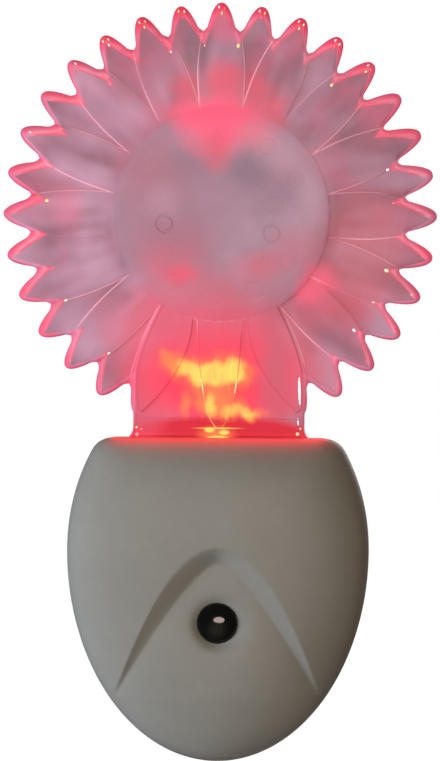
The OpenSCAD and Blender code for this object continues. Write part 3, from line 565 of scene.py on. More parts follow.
# ---- Lamp ----
# A five millimetre red LED that stands in a white block, right under the panel's foot, with its
# tinned pins bent back into the board. Its epoxy lens is brightest around the chip.
chip_place = (0, -12 * mm, 15.5 * mm)
lamp_lens, tree = new_material("lamp_lens")
place = object_place(tree)
glow = spread(vector("DISTANCE", place, chip_place), 1.2 * mm, 4.6 * mm, 1.0, 0.0)
flicker = spread(noise(place, 700.0, 2.0), 0.3, 0.7, 0.85, 1.0)
tint = scaled(mix(glow, rgb(196, 30, 44), rgb(255, 176, 96)), flicker)
coat(lamp_lens, {"Base Color": tint, "Roughness": 0.08, "Emission Color": tint, "Emission Strength": 0.8,
                 "Coat Weight": 0.5})
pin_metal = metal("pin_metal", rgb(200, 200, 198), rgb(150, 150, 150), (900, 3600, 900),
                  dulling=0.3, roughness=0.28)
holder_plastic = plastic("holder_plastic", rgb(214, 211, 203), grain=2100.0, clouding=0.05, roughness=0.4)
dress(lamp_lens, "led")
dress(pin_metal, "led_leads")
dress(holder_plastic, "led_holder")

# ---- Light sensor ----
# A photocell whose red cadmium track winds across its ceramic face, on two pins, inside a black
# moulded tube that keeps the lamp's own light off it.
def parts(place):
    """The three numbers of a place: X across, Y towards the wall and Z up."""
    return add(place.id_data, "ShaderNodeSeparateXYZ", {0: place}).outputs


cell_face_y = -15.9 * mm
cell_ceramic, tree = new_material("cell_ceramic")
place = object_place(tree)
winding = add(tree, "ShaderNodeTexWave", {"Vector": place, "Scale": 520.0, "Distortion": 0.0},
              bands_direction="Z")
track = spread(winding.outputs["Fac"], 0.45, 0.55)
track = times(track, maths("LESS_THAN", parts(place)["Y"], cell_face_y))
clay = mix(noise(place, 2400.0, 2.0), rgb(206, 170, 134), rgb(188, 148, 112))
coat(cell_ceramic, {"Base Color": mix(track, clay, rgb(178, 66, 38)), "Roughness": 0.5, "Coat Weight": 0.2})
shield_plastic = plastic("shield_plastic", rgb(30, 30, 31), grain=1700.0, clouding=0.12, roughness=0.7)
dress(cell_ceramic, "photocell")
dress(shield_plastic, "light_shield_tube")

# ---- Front cover ----
# The crowned front half, moulded in the same ABS. An arch is sunk into its face, and a shallow
# dish surrounds the bore of the light sensor's window. Its top is open for the panel's foot.
base_d, side_run = 24 * mm, 1 * mm
crown_power, crown_mid_z = 3.2, 27.5 * mm - plug_h
ridge_x, ridge_soft, ridge_slope = 2.5 * mm, 3.5 * mm, 0.045
inner_peak, inner_drop = base_d - 3.4 * mm, 0.3 * mm
lens_z = 23.8 * mm - plug_h
bore_r, bore_lip = 3.4 * mm, 0.1 * mm
dish_floor_r, dish_floor, dish_spread = bore_r + 0.2 * mm, base_d - 2.0 * mm, 1.0 * mm
arch_half_w, arch_foot_z, arch_top_z = 17.4 * mm, 11.4 * mm - plug_h, 36.5 * mm - plug_h
arch_depth, arch_blunt = 1.9 * mm, 1.6 * mm
arch_in_half_w, arch_in_top_z = 17.2 * mm, arch_top_z - 2.7 * mm
seam_round = [(0.0, 0.3 * mm), (0.12 * mm, 0.1 * mm), (0.3 * mm, 0.02 * mm)]


def reach_by_turn(edge):
    """The turns from straight down of an outline's points, three times round, and their distances."""
    turn = np.arctan2(edge[:, 0], -edge[:, 1])
    order = np.argsort(turn)
    turn = turn[order]
    reach = np.hypot(edge[:, 0], edge[:, 1])[order]
    return np.concatenate([turn - 2 * math.pi, turn, turn + 2 * math.pi]), np.tile(reach, 3)


def crown_share(x, z, inset=0.0):
    """How far a point lies from the crown's middle, as a share of the way to the outline."""
    turn, reach = reach_by_turn(outline(inset) - (0, crown_mid_z))
    even = np.linspace(-math.pi, math.pi, 361)
    smoothed = [np.interp(even + math.radians(k), turn, reach) for k in range(-30, 31, 3)]
    round_reach = sum(smoothed) / len(smoothed)
    here = np.arctan2(x, -(z - crown_mid_z))
    away = np.hypot(x, z - crown_mid_z)
    edge_here = np.interp(here, turn, reach)
    near = np.minimum(away / edge_here, 1.0)
    whole = edge_here * near ** 3 + np.interp(here, even, round_reach) * (1 - near ** 3)
    return np.minimum(away / whole, 1.0)


def arch_bend(x):
    """How the arch's inner line falls away from its middle: blunt first, then steeper."""
    return (x * x + arch_blunt ** 2) ** 0.65 - arch_blunt ** 1.3


def arch_sink(x, z):
    """How deep the arch is sunk at a point: none outside it, then a soft bank down to its floor."""
    outer = arch_top_z - (arch_top_z - arch_foot_z) * (x / arch_half_w) ** 2
    inner = arch_in_top_z - (arch_in_top_z - arch_foot_z) * (arch_bend(x) / arch_bend(arch_in_half_w))
    bank = np.clip((outer - z) / np.maximum(outer - inner, 0.25 * mm), 0, 1)
    bank = 0.8 * bank + 0.2 * bank * bank * (3 - 2 * bank)
    tall = np.clip((z - arch_foot_z) / (arch_top_z - arch_foot_z), 0, 1)
    beside = np.exp(-np.maximum(inner - z, 0) / (6 * mm))
    tall = tall + (tall ** 0.55 - tall) * beside
    return arch_depth * tall * np.where(np.abs(x) < arch_half_w, bank, 0)


def crown_depth(x, z):
    """Depth of the front cover's face at a point, with the arch and the sensor's dish."""
    rise = base_d - seam_d - side_run
    rise = rise - ridge_slope * (np.hypot(x - ridge_x, ridge_soft) - ridge_soft)
    d = seam_d + side_run + rise * (1 - crown_share(x, z) ** crown_power) ** (1 / crown_power)
    d = d - arch_sink(x, z)
    from_bore = np.maximum(np.hypot(x, z - lens_z) - dish_floor_r, 0)
    return d - (d - dish_floor) * np.exp(-from_bore / dish_spread)


def rays(inset):
    """Even directions around the sensor, and how far the outline lies along each."""
    count = 480
    turn = np.arange(count) * 2 * math.pi / count
    reach = np.interp(turn, *reach_by_turn(outline(inset) - (0, lens_z)))
    return np.column_stack([np.sin(turn), -np.cos(turn)]), reach


def front_skin():
    """Rings from the bore over the face to the seam, and back inside the wall."""
    way, reach = rays(0)
    steps = np.concatenate([np.linspace(0, 0.8, 84), 1 - 0.2 * (1 - np.linspace(0, 1, 32)[1:]) ** 2.5])
    rings = [at_depth(way * bore_r + (0, lens_z), d) for d in (inner_peak, dish_floor - 0.15 * mm)]
    for step in steps:
        r = (bore_r + bore_lip) + (reach - bore_r - bore_lip) * step
        x, z = way[:, 0] * r, way[:, 1] * r + lens_z
        d = crown_depth(x, z) if step < 1 else np.full(len(x), seam_d + side_run)
        rings.append(np.column_stack([x, -d, z]))
    for inward, above in seam_round:
        rings.append(at_depth(way * (reach - inward)[:, None] + (0, lens_z), seam_d + above))
    way, inner = rays(wall)
    rings.append(at_depth(way * inner[:, None] + (0, lens_z), seam_d + seam_round[-1][1]))
    for step in (1, 0.985, 0.95, 0.88, 0.75, 0.5, 0.25):
        r = bore_r + (inner - bore_r) * step
        x, z = way[:, 0] * r, way[:, 1] * r + lens_z
        share = crown_share(x, z, wall)
        rise = (1 - share ** crown_power) ** (1 / crown_power) if step < 1 else np.zeros(len(x))
        d = seam_d + side_run + (inner_peak - inner_drop - seam_d - side_run) * rise
        rings.append(np.column_stack([x, -d, z]))
    return rings


housing_plastic = plastic("housing_plastic", rgb(129, 125, 117))
front = make("front_shell", [(front_skin(), True)], housing_plastic, "light", sharp=50)
cut(front, [foot_slot], sharp=50)
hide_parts("front_cover")

# ---- Sensor window ----
# A smoked lens for the photocell: a polished acrylic dome pressed through the bore from behind,
# with a flange that seats on the boss inside the front cover. The cell seen faintly through it is
# painted, as a lighter patch in the lens's colour.
window_r, window_dome, window_seat = 3.35 * mm, 1.3 * mm, 20.1 * mm
flange_r, flange_d = 4.6 * mm, 19.1 * mm
cell_place = (0.1 * mm, -(dish_floor + 1.2 * mm), lens_z - 1.1 * mm)


def dome_profile(r, h, seat):
    """Radius and depth up a ball's cap, from its rim to its top."""
    steps = 14
    ball = (r * r + h * h) / (2 * h)
    edge = math.asin(r / ball)
    return [(ball * math.sin(edge * i / steps), seat + h - ball * (1 - math.cos(edge * i / steps)))
            for i in range(steps, 0, -1)]


window_profile = [(flange_r, flange_d), (flange_r, window_seat), (window_r, window_seat),
                  (window_r, dish_floor - 0.1 * mm)] + dome_profile(window_r, window_dome, dish_floor)
window_skin = [at_depth(circle(0, lens_z, r, 72), d) for r, d in window_profile]

smoked_acrylic, tree = new_material("smoked_acrylic")
place = object_place(tree)
cloudy = noise(place, 900.0, 3.0)
# painted: the lens is lighter where the cell lies behind it, in place of light through the smoked acrylic
painted_cell_glimpse = spread(vector("DISTANCE", place, cell_place), 0.3 * mm, 2.4 * mm, 1.0, 0.0, soft=True)
tone = mix(spread(cloudy, 0.3, 0.7), rgb(4, 5, 6), rgb(9, 10, 10))
coat(smoked_acrylic, {"Base Color": mix(painted_cell_glimpse, tone, rgb(34, 33, 27)),
                      "Roughness": spread(cloudy, 0.3, 0.7, 0.08, 0.12), "Specular IOR Level": 0.42})
window = make("sensor_window", [(window_skin, False)], smoked_acrylic, "light", sharp=50)
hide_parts("sensor_lens")

# ---- Flower panel ----
# One clear acrylic moulding, cloudy inside and polished along its thick rounded rims: two layers of
# sixteen petals, a domed disc with ring marks, and a stem with sepals. Its foot and two lugs sit in
# the housing over the lamp, whose red light runs through it to every edge.
# the lamp's red light in the panel is painted into its material as glow, with painted patches of light and
# shade and glowing beads as painted glints
middle_z = top_z + 38 * mm
tip_reach, top_reach = 37 * mm, 36.3 * mm
disc_r = 18.5 * mm
petal_count = 16
half_pitch = math.pi / (2 * petal_count)
hidden_half_turn = 17
petal_root, petal_fine = 15 * mm, 30.4 * mm
fillet_r, shoulder_r = 33.5 * mm, 32.2 * mm
shoulder_half_w = 3.4 * mm
petal_back, petal_seam, petal_face, rear_face = 9.8 * mm, 12 * mm, 14.2 * mm, 13.7 * mm
hub_r = 22.5 * mm
disc_face, disc_dome, disc_slope = 15.2 * mm, 0.8 * mm, 2.6 * mm
stem_face, stem_straight = 14.6 * mm, 10.2 * mm
stem_half_w, stem_neck_half_w = 14.6 * mm, 10.2 * mm
foot_h = 9.5 * mm
lug_reach, lug_top, lug_h = 2.6 * mm, top_z - 3 * mm, 3.8 * mm
sepal_back, sepal_face = stem_face - 0.9 * mm, stem_face + 0.4 * mm
mark_r, marks_per_round = 1.5 * mm, 12
marks = [(9.5 * mm, 20), (14.4 * mm, 5)]
clear_marks = {8: 0.28 * mm, 3: 0.12 * mm}
groove_half_w, rim_drop = 0.17 * mm, 0.35 * mm
edge_line = 0.28 * mm


def inward_normals(edge):
    """Unit normals of a closed anticlockwise outline, pointing in."""
    come, go = edge - np.roll(edge, 1, axis=0), np.roll(edge, -1, axis=0) - edge
    come /= np.linalg.norm(come, axis=1)[:, None]
    go /= np.linalg.norm(go, axis=1)[:, None]
    inward = np.column_stack([-(come + go)[:, 1], (come + go)[:, 0]])
    inward /= np.linalg.norm(inward, axis=1)[:, None]
    square = np.abs(-come[:, 1] * inward[:, 0] + come[:, 0] * inward[:, 1])
    return inward / np.maximum(square, 0.5)[:, None]


class Moulding:
    """Collects the panel's plates in one mesh, with how near each point is to a lit rim."""

    def __init__(self):
        self.points, self.faces, self.rim, self.material = [], [], [], []

    def add(self, points, faces, rim, material=0):
        first = len(self.points)
        self.points += [tuple(point) for point in points]
        self.faces += [tuple(first + i for i in face) for face in faces]
        self.rim += list(rim)
        self.material += [material] * len(faces)

    def plate(self, edge, back, face, width, tall, lit=0, sunk=0):
        """A flat plate with a rounded rim: width is how far in it reaches, and tall how far its round
        drops. Lit is how much light comes out at the edge, or how dark the edge is if below 0. Inside
        the rim the face is sunk."""
        inward = inward_normals(edge)
        # share of the rim's width, then the drop from the ridge: part of the round, part of the sink
        rounds = [(0, 1, 0), (0.06, 0.70, 0), (0.16, 0.45, 0), (0.32, 0.20, 0), (0.5, 0.06, 0),
                  (0.66, 0, 0), (0.8, 0, 0.15), (0.92, 0, 0.6), (1.0, 0, 1), (1.12, 0, 1)]
        rings = [at_depth(edge + inward * 0.55 * mm, back), at_depth(edge + inward * 0.38 * mm, back),
                 at_depth(edge + inward * 0.12 * mm, back + 0.1 * mm), at_depth(edge, back + 0.38 * mm)]
        rims = [0, 0.5 * lit, lit, lit]
        for share, drop, sink in rounds:
            rings.append(at_depth(edge + inward * width * share, face - tall * drop - sunk * sink))
            rims.append(lit * max(0, 1 - share * width / edge_line))
        self.add(np.concatenate(rings), skin(rings), np.repeat(rims, len(edge)))


panel = Moulding()


def soft_step(x, start, end):
    """0 before start, 1 after end, and a smooth rise between."""
    t = np.clip((x - start) / (end - start), 0, 1)
    return t * t * (3 - 2 * t)


def slimness(turn):
    """From 0 for the broad petals at the lower left to 1 for the finger-like ones at the upper right."""
    return 0.5 + 0.5 * math.cos(turn - math.radians(40))


def petal_reach(turn):
    return tip_reach - (tip_reach - top_reach) * max(0, math.cos(turn)) ** 3


def petal_half_w(r, reach, slim):
    """Half width of a petal: a round nose on leaning flanks, a fillet to its shoulders, its body."""
    nose_w, nose_power = (1.27 + 0.03 * slim) * mm, 0.5 - 0.08 * slim
    fillet, fillet_from, fillet_run = 0.75 * mm, fillet_r - 1.3 * mm * slim, 1.1 * mm
    nose = nose_w * (np.maximum(reach - r, 0) / mm) ** nose_power
    nose = nose + fillet * np.clip((fillet_from - r) / fillet_run, 0, 1) ** 2
    down = (shoulder_r - r) / (shoulder_r - disc_r)
    body = shoulder_half_w + (0.35 * down + 0.5 * np.sin(math.pi * np.clip(down, 0, 1))) * mm
    soft = 0.3 * mm
    near = np.clip(0.5 + 0.5 * (body - nose) / soft, 0, 1)
    return body + (nose - body) * near - soft * near * (1 - near)


def petal_net(turn):
    """A petal's net: rows from root to tip, closer where the outline bends, columns across, and how
    far every point lies from the outline."""
    reach, slim = petal_reach(turn), slimness(turn)
    to_tip = math.sqrt((reach - fillet_r) / mm)
    rows = np.concatenate([
        np.linspace(petal_root, petal_fine, 16)[:-1], np.linspace(petal_fine, fillet_r, 20)[:-1],
        reach - np.linspace(to_tip, 0.1, 15) ** 2 * mm])
    half_columns = np.array([0, 0.02, 0.05, 0.09, 0.14, 0.2, 0.28, 0.38, 0.52, 0.75])
    columns = np.concatenate([half_columns - 1, [0], 1 - half_columns[::-1]])
    fine = np.concatenate([np.linspace(petal_root - 1 * mm, fillet_r, 400),
                           reach - np.linspace(to_tip, 0, 120) ** 2 * mm])
    fine_w = petal_half_w(fine, reach, slim)
    r = np.repeat(rows[:, None], len(columns), axis=1)
    x = petal_half_w(rows, reach, slim)[:, None] * columns
    to_edge = np.sqrt((np.abs(x)[:, :, None] - fine_w) ** 2 + (r[:, :, None] - fine) ** 2).min(axis=2)
    return r, x, to_edge


def rounding(to_edge, radius):
    """How far an edge rounded to a radius has dropped, at points a way in from it."""
    short = np.maximum(radius - to_edge, 0)
    return radius - np.sqrt(radius ** 2 - short ** 2)


def petal(turn, back, face):
    """One petal: a net over its sunk middle and its rim, rounder towards the tip, and another over
    its flat back."""
    net_r, net_x, to_edge = petal_net(turn)
    back_r, lit_w, petal_sunk, sink_run = 0.3 * mm, 0.3 * mm, 0.12 * mm, 0.9 * mm
    front_r = (0.3 + 0.7 * soft_step(net_r, 29 * mm, 32.5 * mm)) * mm
    sink = petal_sunk * soft_step(to_edge, front_r, front_r + sink_run) * soft_step(net_r, 24 * mm, 31 * mm)
    front_d = face - rounding(to_edge, front_r) - sink
    back_d = back + rounding(to_edge, back_r)
    rim = 1 - soft_step(to_edge, 0, lit_w)
    c, s = math.cos(turn), math.sin(turn)
    x = (net_x * c + net_r * s).ravel()
    z = (net_r * c - net_x * s).ravel() + middle_z
    points = [np.column_stack([x, -d.ravel(), z]) for d in (front_d, back_d)]

    # the front's faces, the same again behind, and a band of side faces round the edge
    index = np.arange(rim.size).reshape(rim.shape)
    behind = index.size
    net = np.stack([index[:-1, :-1], index[:-1, 1:], index[1:, 1:], index[1:, :-1]], axis=2).reshape(-1, 4)
    loop = np.concatenate([index[:, -1], index[-1, -2::-1], index[-2::-1, 0], index[0, 1:-1]])
    onward = np.roll(loop, -1)
    side = np.column_stack([loop, onward, behind + onward, behind + loop])
    faces = np.concatenate([net, behind + net[:, ::-1], side]).tolist()
    panel.add(np.concatenate(points), faces, np.tile(rim.ravel(), 2))


for layer, (back, face) in enumerate([(petal_back, rear_face), (petal_seam, petal_face)]):
    for k in range(petal_count):
        degrees = 360 / petal_count * (k + 0.5 * (1 - layer))
        if abs(degrees - 180) > hidden_half_turn:
            petal(math.radians(degrees), back, face)

# the ring behind the disc that joins the petals' roots
panel.plate(circle(0, middle_z, hub_r, 160), petal_back + 0.02 * mm, petal_seam - 0.1 * mm,
            width=0.3 * mm, tall=0.3 * mm)


def ring_marks():
    """Where the ring marks lie on the disc, and how deep each one is: most only just show."""
    chance = random.Random(11)
    centres, depths = [], []
    for radius, start in marks:
        for i in range(marks_per_round):
            turn = math.radians(start + i * 360 / marks_per_round)
            centres.append((radius * math.sin(turn), radius * math.cos(turn)))
            depths.append(chance.uniform(0.01, 0.04) * mm)
    for i, depth in clear_marks.items():
        depths[i] = depth
    return np.array(centres), np.array(depths)


def disc_net(centres):
    """Points over the disc: wide rounds, close ones near its rim, and small ones at every mark."""
    mark_clear, rim_from, fine_step = 2.1 * mm, 16.95 * mm, 0.15 * mm
    net = [(0.0, 0.0)]
    for r in np.concatenate([np.arange(0.9, 16.9, 0.9), np.linspace(17, 18.3, 9)]) * mm:
        net += circle(0, 0, r, max(8, int(min(r, 16 * mm) / fine_step))).tolist()
    net = [p for p in net
           if np.min(np.hypot(*(centres - p).T)) > mark_clear or math.hypot(*p) > rim_from]
    for x, z in centres:
        net.append((x, z))
        for r in (0.5, 0.9, 1.1, 1.22, 1.34, 1.46, 1.58, 1.7, 1.95):
            net += circle(x, z, r * mm, 28).tolist()
    return net


def disc_mesh():
    """The domed disc, its front a fine net that sinks into a groove along every ring mark."""
    centres, depths = ring_marks()
    net = disc_net(centres)
    count = 160
    rim_first = len(net)
    net += circle(0, 0, disc_r, count).tolist()
    loop = [(rim_first + i, rim_first + (i + 1) % count) for i in range(count)]
    points, _, faces, *_ = delaunay_2d_cdt([Vector(p) for p in net], loop, [], 1, 1e-8)
    flat = np.array([tuple(p) for p in points])
    away = np.hypot(flat[:, 0], flat[:, 1])
    gaps = np.hypot(flat[:, None, 0] - centres[:, 0], flat[:, None, 1] - centres[:, 1])
    groove = (depths * np.exp(-((gaps - mark_r + 0.1 * mm) / groove_half_w) ** 2)).sum(axis=1)
    d = disc_face + disc_dome * (1 - (away / disc_r) ** 2) - groove
    d -= rim_drop * (1 - soft_step(disc_r - away, -1 * mm, disc_slope))

    # the edge is lit over the stem and, for a short way, at the left
    turn = np.degrees(np.arctan2(flat[:, 0], flat[:, 1])) % 360
    lit = sum(np.clip(1.3 - np.abs(turn - at) / half, 0, 1) for at, half in ((180, 16), (261, 8)))
    rim = 0.8 * lit * soft_step(away, disc_r - 0.3 * mm, disc_r)

    # the side wall runs from the net's rim back to the seam, and a flat face closes it there
    behind = len(flat)
    side = [(rim_first + i, rim_first + (i + 1) % count, behind + (i + 1) % count, behind + i)
            for i in range(count)]
    back = at_depth(circle(0, middle_z, disc_r, count), petal_seam)
    panel.add(np.concatenate([np.column_stack([flat[:, 0], -d, flat[:, 1] + middle_z]), back]),
              [tuple(f) for f in faces] + side + [tuple(range(behind, behind + count))],
              np.concatenate([rim, np.zeros(count)]))


disc_mesh()


def disc_edge_z(half_w):
    """Height of the disc's lower edge, a way to the side of its middle."""
    return middle_z - math.sqrt(disc_r ** 2 - half_w ** 2)


def stem_half(z):
    """Half width of the stem at a height, with a small flare where it stands on the housing."""
    neck = disc_edge_z(stem_neck_half_w)
    rise = max(0, (z - top_z - stem_straight) / (neck - top_z - stem_straight))
    low = max(0, 1 - (z - top_z) / (1.6 * mm)) if z > top_z else 0
    return stem_half_w - (stem_half_w - stem_neck_half_w) * rise ** 1.5 + 0.8 * mm * low ** 2


def stem_plates():
    """The stem, from its foot in the housing up under the disc, and two low steps across its foot."""
    neck = disc_edge_z(stem_neck_half_w) + 1 * mm
    low = top_z + np.array([
        -foot_h, -foot_h + 1 * mm, -0.1 * mm, 0.03 * mm, 0.3 * mm, 0.6 * mm, 1.0 * mm, 1.6 * mm])
    heights = np.concatenate([low, np.linspace(top_z + 2.2 * mm, neck, 36)])
    right = [(stem_half(z), z) for z in heights]
    edge = np.array(right + [(0, neck + 6 * mm)] + [(-x, z) for x, z in right[::-1]])
    panel.plate(edge, petal_back, stem_face, width=0.55 * mm, tall=0.5 * mm, lit=0.8, sunk=0.06 * mm)
    for step_h, raised in ((3.3 * mm, 0.02 * mm), (1.3 * mm, 0.06 * mm)):
        step = box_edge(stem_half_w - 0.9 * mm, top_z - foot_h + 2 * mm, top_z + step_h)
        panel.plate(step, stem_face - 1 * mm, stem_face + raised, width=0.25 * mm, tall=0.1 * mm, lit=-0.2)


stem_plates()
lugs = box_edge(stem_half_w + lug_reach, lug_top - lug_h, lug_top)
panel.plate(lugs, petal_back + 0.02 * mm, stem_face - 0.02 * mm, width=0.3 * mm, tall=0.3 * mm, lit=0.2)


def sepal_plates():
    """The raised sepals: a long one down the middle, and one along each side of the stem."""
    half, tip = 3.9 * mm, top_z + 1.5 * mm
    root = disc_edge_z(half) + 2.2 * mm
    turn = np.linspace(math.pi, 0, 61)
    edge = np.column_stack([half * np.cos(turn), root - (root - tip) * np.sin(turn)])
    rim = {"tall": 0.3 * mm, "sunk": 0.05 * mm}
    panel.plate(edge, sepal_back, sepal_face, width=0.32 * mm, lit=1.0, **rim)
    side_x, side_tip_x, side_tip_z = 4.5 * mm, 13.2 * mm, top_z + 4.2 * mm
    root_z, neck_z = disc_edge_z(side_x) + 1.2 * mm, disc_edge_z(stem_neck_half_w)
    t = np.linspace(0, 1, 26)
    inner = np.column_stack([side_x + (side_tip_x - side_x) * t ** 2.2, root_z + (side_tip_z - root_z) * t])
    climb = np.linspace(side_tip_z, neck_z, 22)[1:]
    outer = np.array([(stem_half(z) - 0.4 * mm, z) for z in climb])
    right = np.concatenate([[(side_x, neck_z)], inner, outer])
    for edge in (right, (right * (-1, 1))[::-1]):
        panel.plate(edge, sepal_back, sepal_face, width=0.3 * mm, lit=-0.4, **rim)


sepal_plates()


def bead(x, z, d, size, turn=0.0, stretch=1.0, heat=0.5):
    """A small glowing lens-like bump that paints a glint, longer along its turn; heat 0 glows pink, 0.5
    amber and 1 white.
    """
    profile = [(size, d - 0.3 * mm), (size, d), (0.86 * size, d + 0.4 * size), (0.5 * size, d + 0.7 * size)]
    c, s = math.cos(turn), math.sin(turn)
    around = 12
    rings = []
    for r, depth in profile:
        flat = circle(0, 0, r, around) * (1, stretch)
        rings.append(at_depth(flat @ np.array([(c, -s), (s, c)]) + (x, z), depth))
    panel.add(np.concatenate(rings), skin(rings), np.full(around * len(rings), heat), material=1)


def polar_bead(turn, r, d, size, stretch, heat, drop=0.0):
    """A bead at a turn and reach in the flower, that points outward."""
    bead(r * math.sin(turn), middle_z + r * math.cos(turn) - drop, d, size, turn, stretch, heat)


def glints():
    """Painted glints: small glowing lens-like bumps where the lamp's light gathers: at the inner ends
    of the valleys, behind the tips, and by threes in the tips at the top."""
    chance = random.Random(7)
    valley_r, valley_drop = 29.7 * mm, 0.7 * mm
    for k in range(2 * petal_count):
        turn = k * math.pi / petal_count
        if abs(turn - math.pi) < math.radians(25):
            continue
        reach = petal_reach(turn)
        d = petal_face if k % 2 == 0 else rear_face
        spots = []
        if chance.random() < 0.6:
            spots.append((reach - 1.6 * mm, chance.uniform(-0.8, 0.8), d - 0.15 * mm,
                          chance.uniform(0.14, 0.22) * mm))
        if math.cos(turn) > 0.6:
            spots += [(reach - away * mm, off, d - 0.12 * mm, 0.17 * mm)
                      for away, off in ((0.9, -0.7), (1.1, 0.8), (1.9, 0.1))]
        for r, off, depth, size in spots:
            polar_bead(turn + math.radians(off), r, depth, size, 1.7, chance.choice((0.0, 0.5, 0.8)))
        if chance.random() < 0.75:
            size = chance.uniform(0.18, 0.34) * mm
            polar_bead(turn + half_pitch, valley_r, petal_face - 0.2 * mm, size, 1.4,
                       chance.choice((0.0, 0.5, 0.7, 1.0)), valley_drop)
    # across, up from the housing's top, and size, in mm, of the painted glints at the corners of the foot
    for x, z, size in ((-13.9, 0.5, 0.42), (-13.2, 1.4, 0.26), (-14.0, 1.7, 0.22), (-13.3, 2.5, 0.16),
                       (13.4, 0.7, 0.36), (13.9, 1.6, 0.22), (13.0, 1.5, 0.16)):
        bead(x * mm, top_z + z * mm, stem_face - 0.1 * mm, size * mm, heat=chance.choice((0.0, 0.5)))
    # the same for the long ones, painted highlights: down the right sepal, along the middle sepal's sides,
    # beside the foot
    for x, z, d, size, lean, stretch, heat in (
            (13.7, 8.0, sepal_face - 0.1 * mm, 0.24, -2, 11, 1.0),
            (-2.85, 8.8, sepal_face - 0.04 * mm, 0.1, -9, 14, 0.55),
            (2.85, 8.8, sepal_face - 0.04 * mm, 0.1, 9, 14, 0.55),
            (13.5, 2.6, stem_face - 0.1 * mm, 0.18, -2, 5, 1.0)):
        bead(x * mm, top_z + z * mm, d, size * mm, math.radians(lean), stretch, heat)


glints()


def between(share, first, second):
    """A number between two."""
    return add(share.id_data, "ShaderNodeMix", {0: share, 2: first, 3: second}).outputs[0]


def from_middle(place, middle, stretch=(1, 0, 1)):
    """The way to a place from a middle, flat as seen from the front."""
    return vector("MULTIPLY", vector("SUBTRACT", place, middle), stretch)


def on_axis(axis, length):
    """A way along one axis alone."""
    return add(length.id_data, "ShaderNodeCombineXYZ", {axis: length}).outputs[0]


def acrylic_clouds_and_side_shade():
    """Cloudy acrylic: mauve, streaked from the disc out to the tips, with painted shade that makes it
    lighter on the left and a darker rose on the right."""
    tree, given = group("acrylic_clouds_and_side_shade", {
        "Light": (0.5, 0.4, 0.5, 1), "Dark": (0.3, 0.2, 0.25, 1), "Rose": (0.5, 0.2, 0.3, 1),
        "Cloud Scale": 60.0, "Streaks": 4.0, "Middle": (0, 0, 0)})
    place = object_place(tree)
    away = from_middle(place, given["Middle"])
    reach = times(vector("LENGTH", away), 45.0)
    way = scaled(vector("NORMALIZE", away), given["Streaks"])
    streaks = noise(vector("ADD", way, on_axis("Y", reach)), 1.6, 1.0)
    on_petals = spread(reach, 0.8, 0.95)
    clouds = noise(place, given["Cloud Scale"], 2.0)
    cloud_and_side_shade = spread(between(times(on_petals, 0.55), clouds, streaks), 0.37, 0.62)
    across = parts(place)["X"]
    # painted shade: the clouds grow darker towards the right, away from the lit left
    cloud_and_side_shade = maths("ADD", cloud_and_side_shade, spread(across, -36 * mm, 36 * mm, -0.02, 0.2), clamp=True)
    mauve = mix(cloud_and_side_shade, given["Light"], given["Dark"])
    warm = noise(vector("ADD", place, (0.31, 0.2, 0.17)), 85.0, 2.0)
    rose_flush_and_side_shade = spread(warm, 0.46, 0.72, 0.0, 0.8)
    # painted shade: the rose flush is stronger towards the right
    rose_flush_and_side_shade = times(rose_flush_and_side_shade, spread(across, -20 * mm, 5 * mm, 0.6, 1.0))
    rosy = mix(rose_flush_and_side_shade, mauve, given["Rose"])
    return give({"Colour": rosy, "Height": times(on_petals, streaks)})


def scallops():
    """Polar place in the flower: the distance from its middle, and 0 on a petal's axis to 1 midway
    to the next petal. Lean is 1 where the petal's flank faces up and -1 where it faces down."""
    given = group("scallops", {"Place": (0, 0, 0), "Middle": (0, 0, 0), "Half Pitch": 0.098})[1]
    flat = from_middle(given["Place"], given["Middle"])
    way = parts(vector("NORMALIZE", flat))
    turn = maths("ARCTAN2", way["X"], way["Z"])
    midway = maths("DIVIDE", maths("PINGPONG", turn, given["Half Pitch"]), given["Half Pitch"])
    pitches = times(maths("DIVIDE", turn, given["Half Pitch"]), 0.5)
    side = maths("SIGN", maths("SUBTRACT", pitches, maths("ROUND", pitches)))
    upward = times(times(side, way["X"]), -1.0)
    lean = maths("MULTIPLY_ADD", way["Z"], 0.35, upward)
    return give({"Reach": vector("LENGTH", flat), "Midway": midway, "Lean": lean, "Up": way["Z"]})


def lit_rim():
    """Where the petals' rims glow: 0 at the glow's inner line, 1 at the outline. The inner line is the
    scalloped outline again, drawn in and set a little lower."""
    tree, given = group("lit_rim", {
        "Middle": (0, 0, 0), "Half Pitch": 0.098, "Drop": 0.7 * mm, "Tip": 35.7 * mm, "Valley": 29.3 * mm,
        "Outer Tip": 37 * mm, "Outer Valley": 32.3 * mm})
    place = object_place(tree)
    lifted = vector("ADD", place, on_axis("Z", given["Drop"]))
    polar = scallops()
    flower = {"Middle": given["Middle"], "Half Pitch": given["Half Pitch"]}
    here, above = [use(polar, tree, {"Place": at, **flower}) for at in (place, lifted)]
    inner = between(above["Midway"], given["Tip"], given["Valley"])
    outer = between(maths("POWER", here["Midway"], 1.7), given["Outer Tip"], given["Outer Valley"])
    come = maths("SUBTRACT", above["Reach"], inner)
    left = maths("MAXIMUM", maths("SUBTRACT", outer, here["Reach"]), 0.1 * mm)
    whole = maths("MAXIMUM", maths("ADD", come, left), 0.3 * mm)
    return give({"Share": maths("DIVIDE", come, whole), "Lean": here["Lean"], "Reach": here["Reach"],
                 "Up": here["Up"]})


def glow_patch():
    """One soft patch of light in the panel: a stretched round spot with a blurred edge."""
    given = group("glow_patch", {
        "Place": (0, 0, 0), "Centre": (0, 0, 0), "Stretch": (100, 0, 100), "Blur": 0.5, "Strength": 1.0})[1]
    away = from_middle(given["Place"], given["Centre"], given["Stretch"])
    near, far = [maths(what, 1.0, given["Blur"]) for what in ("SUBTRACT", "ADD")]
    fade = spread(vector("LENGTH", away), near, far, 1.0, 0.0, soft=True)
    return give({"Mask": times(fade, given["Strength"])})
